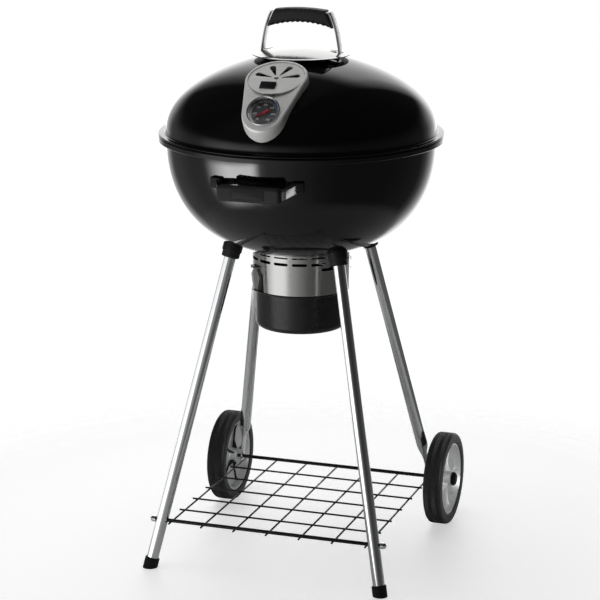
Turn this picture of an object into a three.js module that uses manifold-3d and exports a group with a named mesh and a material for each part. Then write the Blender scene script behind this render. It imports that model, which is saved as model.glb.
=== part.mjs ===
// Kettle charcoal grill: a lidded steel kettle on four legs, with an ash catcher, a rack and two wheels.
// Millimetres, +Z up, front towards -Y. The origin is on the ground below the middle of the bowl.
import * as THREE from 'three';
import Module from 'manifold-3d';
import { mergeVertices } from 'three/addons/utils/BufferGeometryUtils.js';

const wasm = await Module();
wasm.setup();

// ---- driving dimensions -------------------------------------------------------------------------

const GAP = 0.3;                 // between pieces that touch
const FACETS = 36;               // round the kettle
const SHEET = 1.2;               // enamelled steel of lid and bowl

const RIM_HEIGHT = 914;          // top of the bowl's rolled edge
const FLANGE_RADIUS = 300;       // outside of the rolled edge and of the lid's lip
const FLANGE_DROP = 12;          // height of the rolled edge
const BOWL_RADIUS = 284;
const BOWL_DEPTH = 253;
const LID_RADIUS = 284.5;
const LID_RISE = 174;
const LIP_HEIGHT = 4;
const LID_TURN = THREE.MathUtils.degToRad(2.6); // the loose lid sits turned a little on the bowl

const SHIELD_RADIUS = 103.6;     // domed disc under the lid's handle
const SHIELD_HEIGHT = 166.6;     // its edge above the rim
const SHIELD_DOME = 14;
const BAIL_WIDTH = 26;
const BAIL_THICKNESS = 2.5;

const VENT_CENTRE = { radius: 177.8, height: 143, tilt: THREE.MathUtils.degToRad(24) };
const DIAL_CENTRE = { radius: 266.2, height: 88.4, tilt: THREE.MathUtils.degToRad(48) };
const DAMPER_RADIUS = 57.6;
const DAMPER_SLOTS = [15, 65, 115, 165];        // degrees round the damper
const DIAL_RADIUS = 34.4;
const BEZEL_VENT_RADIUS = 64;
const BEZEL_DIAL_RADIUS = 45;

const GRIP_LENGTH = 134;         // bowl handle
const GRIP_HEIGHT = 32;
const GRIP_THICKNESS = 17;
const GRIP_FRONT = -326;
const GRIP_DROP = 71;            // below the rim
const STRAP_HEIGHT = 18;
const STRAP_THICKNESS = 3;
const STRAP_FRONT = -307.5;
const STRAP_CLIMB = 0.26;        // rise for each millimetre towards the bowl
const HANDLE_MOUNT = { radius: 281, width: 26, depth: 18, height: 23, turn: THREE.MathUtils.degToRad(17.8) };

const SKIRT_RADIUS = 104.5;
const SKIRT_WALL = 1;
const SKIRT_BOTTOM = 583.7;
const SKIRT_SLOTS = 16;
const SLOT_HEIGHT = 651;
const SLOT_PHASE = -5.6;         // degrees
const LEVER_HEIGHT = 639;
const LEVER_ANGLE = -28;         // degrees
const POT_RADIUS = 97.8;
const POT_BOTTOM = 498;
const POT_TOP = 626;
const LATCH_ANGLES = { left: 225, right: 45 };  // degrees
const LATCH_PIVOT_RADIUS = 109.5;
const LATCH_PIVOT_HEIGHT = 634;

const LEG_RADIUS = 12.5;
const LEG_BORE = 11.3;
const LEG_JOIN = 661;            // height where the legs leave their boots
const FRONT_LEG_TOP = [120.2, -109.1];
const FRONT_FOOT = [256.9, -244.8];
const REAR_LEG_TOP = [123, 94];
const AXLE = { y: 237.1, z: 102.5, radius: 4, halfLength: 281 };
const REAR_LEG_X = 225.7;        // at the axle

const WHEEL_X = 255.7;
const TYRE_RADIUS = 102.5;
const TYRE_WIDTH = 41.2;
const WHEEL_RADIUS = 80.1;

const RACK = { wires: 7, pitch: 72.9, crossWires: 5, front: -223, wireHeight: 96.2, wireRadius: 2 };
const BAR_RADIUS = 4;
const COOKING_GRATE = { radius: 274, drop: 26, bars: 15, barRadius: 2.5 };
const CHARCOAL_GRATE = { radius: 212, drop: 172, bars: 9, barRadius: 3.5 };

// ---- materials ----------------------------------------------------------------------------------

function material(color, roughness, metalness) {
  return new THREE.MeshStandardMaterial({ color, roughness, metalness });
}

const ENAMEL = material(0x050505, 0.08, 0.0);
const STAINLESS = material(0xb8b8b6, 0.28, 1.0);
const CHROME = material(0xd4d6d8, 0.12, 1.0);
const CAST = material(0xa9a8a4, 0.38, 0.9);
const PLASTIC = material(0x1c1c1d, 0.5, 0.0);
const RUBBER = material(0x121212, 0.75, 0.0);
const BLACK_STEEL = material(0x0b0b0b, 0.35, 0.4);
const IRON = material(0x1b1a19, 0.7, 0.6);
const WHEEL_PLASTIC = material(0x8f9193, 0.4, 0.5);
const GLASS = material(0xdfe6ea, 0.02, 0.0);
const DIAL_FACE = material(0x15171c, 0.5, 0.0);
const NEEDLE_RED = material(0xc01530, 0.4, 0.0);

// ---- geometry helpers ---------------------------------------------------------------------------

function signedVolume(geometry) {
  const point = geometry.attributes.position;
  const index = geometry.index;
  const [a, b, c] = [new THREE.Vector3(), new THREE.Vector3(), new THREE.Vector3()];
  let volume = 0;
  for (let i = 0; i < index.count; i += 3) {
    a.fromBufferAttribute(point, index.getX(i));
    b.fromBufferAttribute(point, index.getX(i + 1));
    c.fromBufferAttribute(point, index.getX(i + 2));
    volume += a.dot(b.cross(c)) / 6;
  }
  return volume;
}

// A closed geometry as a manifold-3d solid, with shared corners merged and faces turned outwards.
function toSolid(geometry) {
  const plain = geometry.clone();
  plain.deleteAttribute('normal');
  plain.deleteAttribute('uv');
  const merged = mergeVertices(plain, 1e-4);
  const flip = signedVolume(merged) < 0;
  const triangles = [];
  for (let i = 0; i < merged.index.count; i += 3) {
    const [a, b, c] = [merged.index.getX(i), merged.index.getX(i + 1), merged.index.getX(i + 2)];
    if (a === b || b === c || c === a) continue;
    triangles.push(a, flip ? c : b, flip ? b : c);
  }
  return new wasm.Manifold(new wasm.Mesh({
    numProp: 3,
    vertProperties: new Float32Array(merged.attributes.position.array),
    triVerts: new Uint32Array(triangles),
  }));
}

function toGeometry(solid) {
  const mesh = solid.getMesh();
  const geometry = new THREE.BufferGeometry();
  geometry.setAttribute('position', new THREE.BufferAttribute(new Float32Array(mesh.vertProperties), 3));
  geometry.setIndex(new THREE.BufferAttribute(new Uint32Array(mesh.triVerts), 1));
  return geometry;
}

function cut(base, ...tools) {
  return toGeometry(tools.reduce((solid, tool) => solid.subtract(toSolid(tool)), toSolid(base)));
}

function join(...pieces) {
  return toGeometry(pieces.map(toSolid).reduce((whole, piece) => whole.add(piece)));
}

function common(first, second) {
  return toGeometry(toSolid(first).intersect(toSolid(second)));
}

// Turned about +Z from a section of [radius, height] points that ends on the axis or closes on itself.
function revolve(section, facets = FACETS) {
  const points = section.map(([radius, height]) => new THREE.Vector2(radius, height));
  return new THREE.LatheGeometry(points, facets).rotateX(Math.PI / 2);
}

// A ring whose section is a closed outline of [radius, height] corners.
function ring(outline, facets = FACETS) {
  return revolve([...outline, outline[0]], facets);
}

function disc(radius, low, high, facets = FACETS) {
  return revolve([[0, low], [radius, low], [radius, high], [0, high]], facets);
}

function box(x, y, z, at = [0, 0, 0]) {
  return new THREE.BoxGeometry(x, y, z).translate(...at);
}

// A straight round bar between two points.
function rod(start, end, radius, facets = 12) {
  const from = new THREE.Vector3(...start);
  const along = new THREE.Vector3(...end).sub(from);
  const rodAxis = new THREE.Vector3(0, 1, 0);
  const turn = new THREE.Quaternion().setFromUnitVectors(rodAxis, along.clone().normalize());
  const middle = from.clone().addScaledVector(along, 0.5);
  return new THREE.CylinderGeometry(radius, radius, along.length(), facets)
    .applyMatrix4(new THREE.Matrix4().compose(middle, turn, new THREE.Vector3(1, 1, 1)));
}

// A flat outline of [x, y] corners pushed up along +Z between two heights.
function plate(outline, low, high) {
  const shape = outline instanceof THREE.Shape
    ? outline
    : new THREE.Shape(outline.map(([x, y]) => new THREE.Vector2(x, y)));
  return new THREE.ExtrudeGeometry(shape, { depth: high - low, bevelEnabled: false, curveSegments: 3 })
    .translate(0, 0, low);
}

// The same outline standing in the X-Z plane, centred on y.
function upright(outline, y, width) {
  return plate(outline, -width / 2, width / 2).rotateX(Math.PI / 2).translate(0, y, 0);
}

function roundedRectangle(width, height, corner) {
  const [x, y] = [width / 2, height / 2];
  const shape = new THREE.Shape();
  shape.moveTo(-x + corner, -y);
  shape.lineTo(x - corner, -y);
  shape.absarc(x - corner, -y + corner, corner, -Math.PI / 2, 0);
  shape.absarc(x - corner, y - corner, corner, 0, Math.PI / 2);
  shape.absarc(-x + corner, y - corner, corner, Math.PI / 2, Math.PI);
  shape.absarc(-x + corner, -y + corner, corner, Math.PI, Math.PI * 1.5);
  return shape;
}

// Two arcs joined by their outer tangents: radius a round the origin, radius b round (0, distance).
function teardrop(a, b, distance) {
  const lean = Math.asin((a - b) / distance);
  const shape = new THREE.Shape();
  shape.absarc(0, 0, a, Math.PI - lean, Math.PI * 2 + lean);
  shape.absarc(0, distance, b, lean, Math.PI - lean);
  return shape;
}

// A quarter section of a dome as [radius, rise] points, from the top on the axis to the widest circle.
function dome(radius, rise, radiusPower, risePower, steps) {
  return Array.from({ length: steps + 1 }, (_, i) => {
    const t = (Math.PI / 2) * (1 - i / steps);
    const width = i === 0 ? 0 : radius * Math.cos(t) ** radiusPower;
    return [width, rise * Math.sin(t) ** risePower];
  });
}

// The section moved outwards (or inwards, with a negative distance) along its own normals.
function offset(section, distance) {
  return section.map(([radius, height], i) => {
    if (i === 0) return [0, height + Math.sign(section[0][1]) * distance];
    const before = section[i - 1];
    const after = section[Math.min(i + 1, section.length - 1)];
    const along = new THREE.Vector2(after[0] - before[0], after[1] - before[1]).normalize();
    const outwards = along.y < 0 ? 1 : -1;
    return [radius - along.y * outwards * distance, height + along.x * outwards * distance];
  });
}

// Places a mesh in a parent group, named as its node.
function part(name, parent, geometry, look, position = [0, 0, 0]) {
  const mesh = new THREE.Mesh(toGeometry(toSolid(geometry)), look);
  mesh.name = name;
  mesh.position.set(...position);
  parent.add(mesh);
  return mesh;
}

function group(parent, position = [0, 0, 0], turnX = 0, turnZ = 0) {
  const frame = new THREE.Group();
  frame.position.set(...position);
  frame.rotation.order = 'ZXY';
  frame.rotation.set(turnX, 0, turnZ);
  parent.add(frame);
  return frame;
}

function polar(radius, degrees, height = 0) {
  const angle = THREE.MathUtils.degToRad(degrees);
  return [radius * Math.cos(angle), radius * Math.sin(angle), height];
}

const SIDES = { left: -1, right: 1 };

// A path of [x, y] points given a thickness, as a closed outline.
function ribbon(path, thickness) {
  const points = path.map(([x, y]) => new THREE.Vector2(x, y));
  const normals = points.map((_, i) => {
    const before = points[Math.max(i - 1, 0)];
    const after = points[Math.min(i + 1, points.length - 1)];
    const along = after.clone().sub(before).normalize();
    return new THREE.Vector2(-along.y, along.x);
  });
  const side = (half) => points.map((point, i) => point.clone().addScaledVector(normals[i], half).toArray());
  return [...side(thickness / 2), ...side(-thickness / 2).reverse()];
}

function mirrored(half) {
  return [...half.map(([x, y]) => [-x, y]).reverse(), ...half.filter(([x]) => x > 0)];
}

// ---- kettle surfaces, measured from the rim -------------------------------------------------------

const LID_SECTION = dome(LID_RADIUS, LID_RISE - LIP_HEIGHT, 1.351, 0.905, 8)
  .map(([radius, rise]) => [radius, LIP_HEIGHT + rise]);
const BOWL_SHOULDER = 16;        // where the bowl's wall starts to curve in
const BOWL_SECTION = dome(BOWL_RADIUS, BOWL_DEPTH - BOWL_SHOULDER, 0.757, 0.93, 8)
  .map(([radius, rise]) => [radius, -BOWL_SHOULDER - rise]);

// Everything below the lid's outer surface, moved out by a distance.
function underLid(distance) {
  const section = offset(LID_SECTION, distance);
  const last = section[section.length - 1];
  return revolve([...section, [last[0], -40], [0, -40]]);
}

// Everything inside the bowl's outer surface, moved out by a distance.
function insideBowl(distance) {
  const section = offset(BOWL_SECTION, distance);
  const last = section[section.length - 1];
  return revolve([...section, [last[0], 20], [0, 20]]);
}

const grill = new THREE.Group();
const kettle = group(grill, [0, 0, RIM_HEIGHT]);
const lid = group(kettle, [0, 0, 0], 0, LID_TURN);

// A frame on the front of the lid, with its +Z along the piece's face normal and its +Y up the slope.
function lidFrame(parent, centre) {
  return group(parent, [0, -centre.radius, centre.height], centre.tilt);
}

function toLid(geometry, centre) {
  return geometry.clone().rotateX(centre.tilt).translate(0, -centre.radius, centre.height);
}

// ---- lid ----------------------------------------------------------------------------------------

const BOLT_X = 71;
const BOLT_RADIUS = 2.5;
const BAIL_ARM = new THREE.QuadraticBezierCurve(
  new THREE.Vector2(66, 248), new THREE.Vector2(80, 215), new THREE.Vector2(84.5, 166),
).getPoints(6).map((point) => point.toArray());
const BAIL_PATH = mirrored([[0, 251], [52, 254.5], [60.5, 254], ...BAIL_ARM, [56, 172]]);
const GRIP_END_HEIGHT = 222.5;   // lowest point of the lid grip's ends

// One slot of the damper, radiating from its centre.
function damperSlot(degrees, low, high, grow = 0) {
  const outline = teardrop(1.2 + grow, 6.4 + grow, 30);
  return plate(outline, low, high).translate(0, 12, 0)
    .rotateZ(THREE.MathUtils.degToRad(degrees - 90));
}

function boltHole() {
  return rod([0, 0, 100], [0, 0, 200], BOLT_RADIUS + 0.4);
}

function lidShell() {
  const inner = offset(LID_SECTION, -SHEET).reverse();
  const shell = revolve([
    ...LID_SECTION,
    [FLANGE_RADIUS - 1, LIP_HEIGHT],
    [FLANGE_RADIUS, LIP_HEIGHT - 1],
    [FLANGE_RADIUS, GAP + 1],
    [FLANGE_RADIUS - 1, GAP],
    [LID_RADIUS - SHEET, GAP],
    ...inner,
  ]);
  const slots = DAMPER_SLOTS.map((degrees) => toLid(damperSlot(degrees, -40, 10), VENT_CENTRE));
  const stemHole = toLid(rod([0, 0, -60], [0, 0, 10], 5), DIAL_CENTRE);
  const bolts = Object.values(SIDES).map((side) => boltHole().translate(side * BOLT_X, 0, 0));
  return cut(shell, ...slots, stemHole, ...bolts);
}

function shieldDisc() {
  const steps = 4;
  const top = Array.from({ length: steps + 1 }, (_, i) => {
    const radius = (SHIELD_RADIUS * i) / steps;
    return [radius, SHIELD_HEIGHT + SHIELD_DOME * (1 - (i / steps) ** 2)];
  });
  const under = top.map(([radius, height]) => [radius, height - SHEET]).reverse();
  const openings = Object.values(SIDES).map((side) => box(25, BAIL_WIDTH + 2, 60, [side * 76.5, 0, 165]));
  return cut(revolve([...top, ...under]), ...openings);
}

// The grip fills the top of the bail, whose arms lie along its two ends.
function lidGrip() {
  const end = BAIL_ARM.filter(([, z]) => z > GRIP_END_HEIGHT + 2);
  const half = [
    [0, 262.7], [30, 261.5], [54, 259], [60.5, 254], ...end, [70, GRIP_END_HEIGHT], [58, 229], [30, 233],
  ];
  const outline = [...half, ...half.slice(1).reverse().map(([x, z]) => [-x, z])];
  const channel = upright(ribbon(BAIL_PATH, BAIL_THICKNESS + 0.8), 0, BAIL_WIDTH + 0.8);
  return cut(upright(outline, 0, BAIL_WIDTH + 7), channel);
}

function buildLid() {
  part('lid_shell', lid, lidShell(), ENAMEL);
  part('heat_shield', lid, shieldDisc(), STAINLESS);

  const bail = upright(ribbon(BAIL_PATH, BAIL_THICKNESS), 0, BAIL_WIDTH);
  const holes = Object.values(SIDES).map((side) => boltHole().translate(side * BOLT_X, 0, 0));
  part('lid_handle_bail', lid, cut(bail, ...holes), STAINLESS);
  part('lid_handle_grip', lid, lidGrip(), PLASTIC);

  for (const [side, sign] of Object.entries(SIDES)) {
    const block = [[58, 150], [80, 150], [80, 165.4], [58, 169.9]].map(([x, z]) => [x * sign, z]);
    const pad = cut(upright(block, 0, BAIL_WIDTH), underLid(GAP), boltHole().translate(sign * BOLT_X, 0, 0));
    part(`lid_handle_pad_${side}`, lid, pad, PLASTIC);
    const bolt = join(disc(5, 171.4, 174.4, 12), disc(BOLT_RADIUS, 159, 172, 12), disc(5.5, 158, 161.2, 6));
    part(`lid_handle_bolt_${side}`, lid, bolt, STAINLESS, [sign * BOLT_X, 0, 0]);
  }
}

// The vent housing: a teardrop block whose face has two flats, one for the damper and one for the dial.
function ventBezel() {
  const rise = VENT_CENTRE.height - DIAL_CENTRE.height;
  const run = DIAL_CENTRE.radius - VENT_CENTRE.radius;
  const middle = { ...DIAL_CENTRE, tilt: Math.atan2(rise, run) };
  const outline = teardrop(BEZEL_DIAL_RADIUS, BEZEL_VENT_RADIUS, Math.hypot(rise, run));
  const block = toLid(plate(outline, -70, 60), middle);
  const above = (centre) => toLid(box(400, 400, 100, [0, 0, 50]), centre);
  const pocket = toLid(disc(DAMPER_RADIUS + 0.6, -4, 20), VENT_CENTRE);
  const duct = toLid(disc(DAMPER_RADIUS - 5, -60, 20), VENT_CENTRE);
  const dialBore = toLid(disc(DIAL_RADIUS - 2.4, -60, 20), DIAL_CENTRE);
  return cut(block, above(VENT_CENTRE), above(DIAL_CENTRE), underLid(GAP), pocket, duct, dialBore);
}

function buildVent() {
  part('vent_bezel', lid, ventBezel(), CAST);
  const vent = lidFrame(lid, VENT_CENTRE);
  const pinHole = rod([0, 0, -20], [0, 0, 20], 2.9);
  const slots = DAMPER_SLOTS.map((degrees) => damperSlot(degrees, -20, 20));
  part('vent_damper', vent, cut(disc(DAMPER_RADIUS, -3.6, -1.6), ...slots, pinHole), CAST);
  part('vent_damper_tab', vent, plate(roundedRectangle(32, 18, 3), -1.3, 4), PLASTIC, [-9, -31, 0]);

  const bar = box(2 * DAMPER_RADIUS - 12.5, 8, 1.6, [0, 0, -4.9]);
  const pin = join(bar, rod([0, 0, -5], [0, 0, -0.8], 2.5), disc(4.5, -1.2, 0, 16));
  part('vent_damper_pin', vent, pin, STAINLESS);
}

function buildThermometer() {
  const dial = lidFrame(lid, DIAL_CENTRE);
  const bore = DIAL_RADIUS - 3;
  const cup = cut(disc(bore, -15, 0, 24), disc(bore - 1.2, -13.8, 20, 24), rod([0, 0, -30], [0, 0, 0], 3.4));
  part('thermometer_case', dial, cup, STAINLESS);
  part('thermometer_ring', dial, ring([
    [bore - 0.2, GAP], [DIAL_RADIUS, GAP], [DIAL_RADIUS, 2.5], [DIAL_RADIUS - 1.5, 4], [bore - 0.2, 3],
  ], 24), CHROME);
  part('thermometer_lens', dial, disc(bore - 0.5, 0.6, 1.8, 24), GLASS);
  const face = cut(disc(bore - 1.5, -7, -6, 24), rod([0, 0, -9], [0, 0, 0], 1.6));
  part('thermometer_dial', dial, face, DIAL_FACE);
  part('thermometer_stem', dial, rod([0, 0, -75], [0, 0, -9], 3), STAINLESS);

  const arrow = plate([[-3, -8], [3, -8], [1.6, 0], [0, 24], [-1.6, 0]], -5.4, -4.6);
  const boss = rod([0, 0, -8], [0, 0, -3.8], 1.3);
  const needle = join(arrow, boss, disc(3, -5.4, -3.8, 12)).rotateZ(THREE.MathUtils.degToRad(125));
  part('thermometer_needle', dial, needle, NEEDLE_RED);
}

// ---- bowl ---------------------------------------------------------------------------------------

const SWEEP_ARMS = [0, 120, 240];
const SWEEP_LEAD = 18;           // degrees from each ash opening to its blade
const SHAFT_RADIUS = 6;

function bowlShell() {
  const shell = revolve([
    ...BOWL_SECTION,
    [BOWL_RADIUS, -SHEET],
    [FLANGE_RADIUS - SHEET, -SHEET],
    [FLANGE_RADIUS - SHEET, -FLANGE_DROP],
    [FLANGE_RADIUS, -FLANGE_DROP],
    [FLANGE_RADIUS, 0],
    [BOWL_RADIUS - SHEET, 0],
    ...offset(BOWL_SECTION, -SHEET).reverse(),
  ]);
  const openings = SWEEP_ARMS.map((degrees) => box(56, 22, 60, [54, 0, -BOWL_DEPTH])
    .rotateZ(THREE.MathUtils.degToRad(degrees)));
  return cut(shell, ...openings, disc(SHAFT_RADIUS + 0.6, -BOWL_DEPTH - 20, -BOWL_DEPTH + 20, 16));
}

// Parallel bars trimmed to a circle, on two cross bars and inside a round hoop.
function grate({ radius, bars, barRadius }) {
  const hoopRadius = radius - barRadius;
  const hoop = new THREE.TorusGeometry(hoopRadius, barRadius, 4, FACETS);
  const pitch = (2 * hoopRadius) / (bars + 1);
  const lines = Array.from({ length: bars }, (_, i) => (i - (bars - 1) / 2) * pitch);
  const reach = (across) => Math.sqrt(hoopRadius ** 2 - across ** 2);
  const long = lines.map((x) => rod([x, -reach(x), 0], [x, reach(x), 0], barRadius, 6));
  const cross = [-0.45, 0.45].map((share) => share * hoopRadius)
    .map((y) => rod([-reach(y), y, -1.6 * barRadius], [reach(y), y, -1.6 * barRadius], barRadius, 6));
  return join(hoop, ...long, ...cross);
}

function buildBowl() {
  part('bowl_shell', kettle, bowlShell(), ENAMEL);
  part('cooking_grate', kettle, grate(COOKING_GRATE), STAINLESS, [0, 0, -COOKING_GRATE.drop]);
  part('charcoal_grate', kettle, grate(CHARCOAL_GRATE), IRON, [0, 0, -CHARCOAL_GRATE.drop]);
  for (const [i, degrees] of [45, 135, 225, 315].entries()) {
    const block = box(24, 20, 9, [BOWL_RADIUS - 12, 0, -COOKING_GRATE.drop - 13.5])
      .rotateZ(THREE.MathUtils.degToRad(degrees));
    const tab = common(block, insideBowl(-SHEET - GAP));
    part(`grate_bracket_${i + 1}`, kettle, tab, BLACK_STEEL);
  }
}

// The strap climbs towards the bowl, so its feet sit higher than the grip.
function climbing(geometry) {
  const shear = new THREE.Matrix4().makeShear(0, 0, 0, STRAP_CLIMB, 0, 0);
  return geometry.applyMatrix4(shear).translate(0, 0, -STRAP_CLIMB * STRAP_FRONT);
}

function buildBowlHandle() {
  const height = -GRIP_DROP;
  const path = mirrored([[65, STRAP_FRONT], [71, STRAP_FRONT + 3.5], [87, STRAP_FRONT + 36.5]]);
  const strap = plate(ribbon(path, STRAP_THICKNESS), height - STRAP_HEIGHT / 2, height + STRAP_HEIGHT / 2);
  part('bowl_handle_strap', kettle, climbing(strap), STAINLESS);

  const grip = upright(roundedRectangle(GRIP_LENGTH, GRIP_HEIGHT, 8), 0, GRIP_THICKNESS - 1);
  part('bowl_handle_grip', kettle, grip, PLASTIC, [0, GRIP_FRONT + GRIP_THICKNESS / 2 - 0.5, height]);

  const reach = STRAP_HEIGHT / 2 + 0.4;
  const socket = climbing(plate(ribbon(path, STRAP_THICKNESS + 0.8), height - reach, height + reach));
  const mountDepth = -HANDLE_MOUNT.radius * Math.cos(HANDLE_MOUNT.turn);
  const mountHeight = height + STRAP_CLIMB * (mountDepth - STRAP_FRONT);
  for (const [side, sign] of Object.entries(SIDES)) {
    const { radius, width, depth, turn } = HANDLE_MOUNT;
    const block = box(width, depth, HANDLE_MOUNT.height, [0, -radius, mountHeight]).rotateZ(sign * turn);
    part(`bowl_handle_mount_${side}`, kettle, cut(block, insideBowl(GAP), socket), PLASTIC);
  }
}

// ---- ash catcher --------------------------------------------------------------------------------

// A frame on the skirt with +X outwards, +Y along the pivot pin and +Z up.
function latchMatrix(degrees) {
  const angle = THREE.MathUtils.degToRad(degrees);
  return new THREE.Matrix4().makeRotationZ(angle)
    .setPosition(...polar(LATCH_PIVOT_RADIUS, degrees, LATCH_PIVOT_HEIGHT));
}

// An outline of [across, up] corners standing square to the latch frame's +X.
function standing(outline, low, high) {
  const turn = new THREE.Matrix4().makeBasis(
    new THREE.Vector3(0, 1, 0), new THREE.Vector3(0, 0, 1), new THREE.Vector3(1, 0, 0));
  return plate(outline, low, high).applyMatrix4(turn);
}

function slotCutter(degrees, height, length) {
  const stadium = roundedRectangle(length, 6, 2.99);
  return standing(stadium, SKIRT_RADIUS - 12, SKIRT_RADIUS + 12)
    .rotateZ(THREE.MathUtils.degToRad(degrees)).translate(0, 0, height);
}

function ashSkirt() {
  const inner = SKIRT_RADIUS - SKIRT_WALL;
  const wall = ring([
    [inner, SKIRT_BOTTOM], [SKIRT_RADIUS, SKIRT_BOTTOM], [SKIRT_RADIUS, 675], [inner, 675],
  ]);
  const slots = Array.from({ length: SKIRT_SLOTS }, (_, i) => (
    slotCutter(SLOT_PHASE + (360 / SKIRT_SLOTS) * i, SLOT_HEIGHT, 32)));
  const leverSlot = ring([
    [SKIRT_RADIUS - 12, LEVER_HEIGHT - 3], [SKIRT_RADIUS + 12, LEVER_HEIGHT - 3],
    [SKIRT_RADIUS + 12, LEVER_HEIGHT + 3], [SKIRT_RADIUS - 12, LEVER_HEIGHT + 3],
  ]);
  const wedge = plate([[0, 0], polar(200, LEVER_ANGLE - 19), polar(200, LEVER_ANGLE + 19)], 600, 660);
  const notches = Object.values(LATCH_ANGLES).map((degrees) => (
    standing([[-13, 0], [-24, -17], [-28, -60], [28, -60], [24, -17], [13, 0]], -20, -1)
      .applyMatrix4(latchMatrix(degrees))));
  const kettleBottom = insideBowl(GAP).translate(0, 0, RIM_HEIGHT);
  const skirt = cut(wall, kettleBottom, ...slots, common(leverSlot, wedge), ...notches);
  const ears = Object.values(LATCH_ANGLES).flatMap((degrees) => [-12, 12].map((y) => (
    cut(box(9.3, 2, 7, [-1.6, y, 5.5]), rod([0, y - 5, 0], [0, y + 5, 0], 1.9))
      .applyMatrix4(latchMatrix(degrees)))));
  return join(skirt, ...ears);
}

function ashPot() {
  const corner = 12;
  const arc = Array.from({ length: 4 }, (_, i) => {
    const angle = (Math.PI / 2) * (i / 3);
    return [POT_RADIUS - corner + corner * Math.sin(angle), POT_BOTTOM + corner - corner * Math.cos(angle)];
  });
  const bead = SKIRT_BOTTOM - 0.6;
  return revolve([
    [0, POT_BOTTOM],
    ...arc,
    [POT_RADIUS, bead - 4.5],
    [POT_RADIUS + 5, bead - 3.5],
    [POT_RADIUS + 5, bead],
    [POT_RADIUS, bead],
    [POT_RADIUS, POT_TOP],
    [POT_RADIUS - SHEET, POT_TOP],
    [POT_RADIUS - SHEET, POT_BOTTOM + corner],
    [POT_RADIUS - corner, POT_BOTTOM + SHEET],
    [0, POT_BOTTOM + SHEET],
  ]);
}

function latch() {
  const blade = standing([[-8, -2.6], [-20, -17], [-11, -47], [11, -47], [20, -17], [8, -2.6]], -2.6, -1.1);
  const knuckle = rod([0, -8, 0], [0, 8, 0], 3.6);
  const curl = rod([0.3, -10, -48.5], [0.3, 10, -48.5], 2.4);
  return cut(join(blade, knuckle, curl), rod([0, -20, 0], [0, 20, 0], 1.9));
}

function buildAshCatcher() {
  part('ash_skirt', grill, ashSkirt(), STAINLESS);
  part('ash_pot', grill, ashPot(), BLACK_STEEL);
  for (const [side, degrees] of Object.entries(LATCH_ANGLES)) {
    const place = group(grill, polar(LATCH_PIVOT_RADIUS, degrees, LATCH_PIVOT_HEIGHT), 0,
      THREE.MathUtils.degToRad(degrees));
    part(`latch_${side}`, place, latch(), STAINLESS);
    part(`latch_pin_${side}`, place, rod([0, -14.5, 0], [0, 14.5, 0], 1.5), STAINLESS);
  }
}

function buildSweep() {
  const blades = SWEEP_ARMS.map((degrees) => box(74, 24, 40, [49, 0, -BOWL_DEPTH + 10])
    .rotateZ(THREE.MathUtils.degToRad(degrees + SWEEP_LEAD)));
  const skin = cut(insideBowl(-SHEET - 0.5), insideBowl(-SHEET - 2.1));
  const hub = common(disc(16, -BOWL_DEPTH - 5, -BOWL_DEPTH + 8), insideBowl(-SHEET - 0.5));
  part('ash_sweep', kettle, join(common(skin, join(...blades)), hub), STAINLESS);

  const shaftTop = RIM_HEIGHT - BOWL_DEPTH + 1.2;
  part('sweep_shaft', grill, disc(SHAFT_RADIUS, LEVER_HEIGHT - 5, shaftTop, 16), STAINLESS);
  const turned = group(grill, [0, 0, LEVER_HEIGHT], 0, THREE.MathUtils.degToRad(LEVER_ANGLE));
  const bar = join(disc(11, -3, 3, 16), box(106, 6, 2, [59, 0, 0]));
  part('sweep_lever', turned, cut(bar, disc(SHAFT_RADIUS + GAP, -9, 9, 16)), STAINLESS);
  const knob = upright(roundedRectangle(16, 11, 4), 0, 10).translate(120, 0, 0);
  part('lever_knob', turned, cut(knob, box(20, 6.8, 2.8, [104, 0, 0])), PLASTIC);
}

// ---- legs ---------------------------------------------------------------------------------------

// A point on the straight line from the leg's top through a lower point, at a given height.
function onLeg({ top, low }, height) {
  const share = (LEG_JOIN - height) / (LEG_JOIN - low[2]);
  return [top[0] + (low[0] - top[0]) * share, top[1] + (low[1] - top[1]) * share, height];
}

function legLine(sign, front) {
  const [x, y] = front ? FRONT_LEG_TOP : REAR_LEG_TOP;
  const low = front ? [...FRONT_FOOT, 0] : [REAR_LEG_X, AXLE.y - 1.5, AXLE.z];
  return { top: [sign * x, y], low: [sign * low[0], low[1], low[2]] };
}

function frontLeg(line) {
  const tube = cut(rod(onLeg(line, 6), onLeg(line, 700), LEG_RADIUS, 12),
    rod(onLeg(line, 0), onLeg(line, 710), LEG_BORE, 12));
  const barHole = rod([-300, RACK.front, barHeight()], [300, RACK.front, barHeight()], BAR_RADIUS + GAP);
  return cut(tube, insideBowl(GAP + 0.3).translate(0, 0, RIM_HEIGHT), barHole);
}

// A rear leg is flattened where the axle goes through it.
function rearLeg(line) {
  const flatTop = 168;
  const tube = cut(rod(onLeg(line, flatTop - 14), onLeg(line, 700), LEG_RADIUS, 12),
    rod(onLeg(line, 0), onLeg(line, 710), LEG_BORE, 12));
  const [x1, y1, z1] = onLeg(line, 86);
  const [x2, y2, z2] = onLeg(line, flatTop);
  const length = Math.hypot(x2 - x1, y2 - y1, z2 - z1);
  const turn = new THREE.Quaternion().setFromUnitVectors(
    new THREE.Vector3(0, 0, 1), new THREE.Vector3(x2 - x1, y2 - y1, z2 - z1).normalize());
  const flat = new THREE.BoxGeometry(6, 24.2, length).applyMatrix4(new THREE.Matrix4().compose(
    new THREE.Vector3((x1 + x2) / 2, (y1 + y2) / 2, (z1 + z2) / 2), turn, new THREE.Vector3(1, 1, 1)));
  const axleHole = rod([-300, AXLE.y, AXLE.z], [300, AXLE.y, AXLE.z], AXLE.radius + GAP);
  return cut(join(tube, flat), insideBowl(GAP + 0.3).translate(0, 0, RIM_HEIGHT), axleHole);
}

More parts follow.
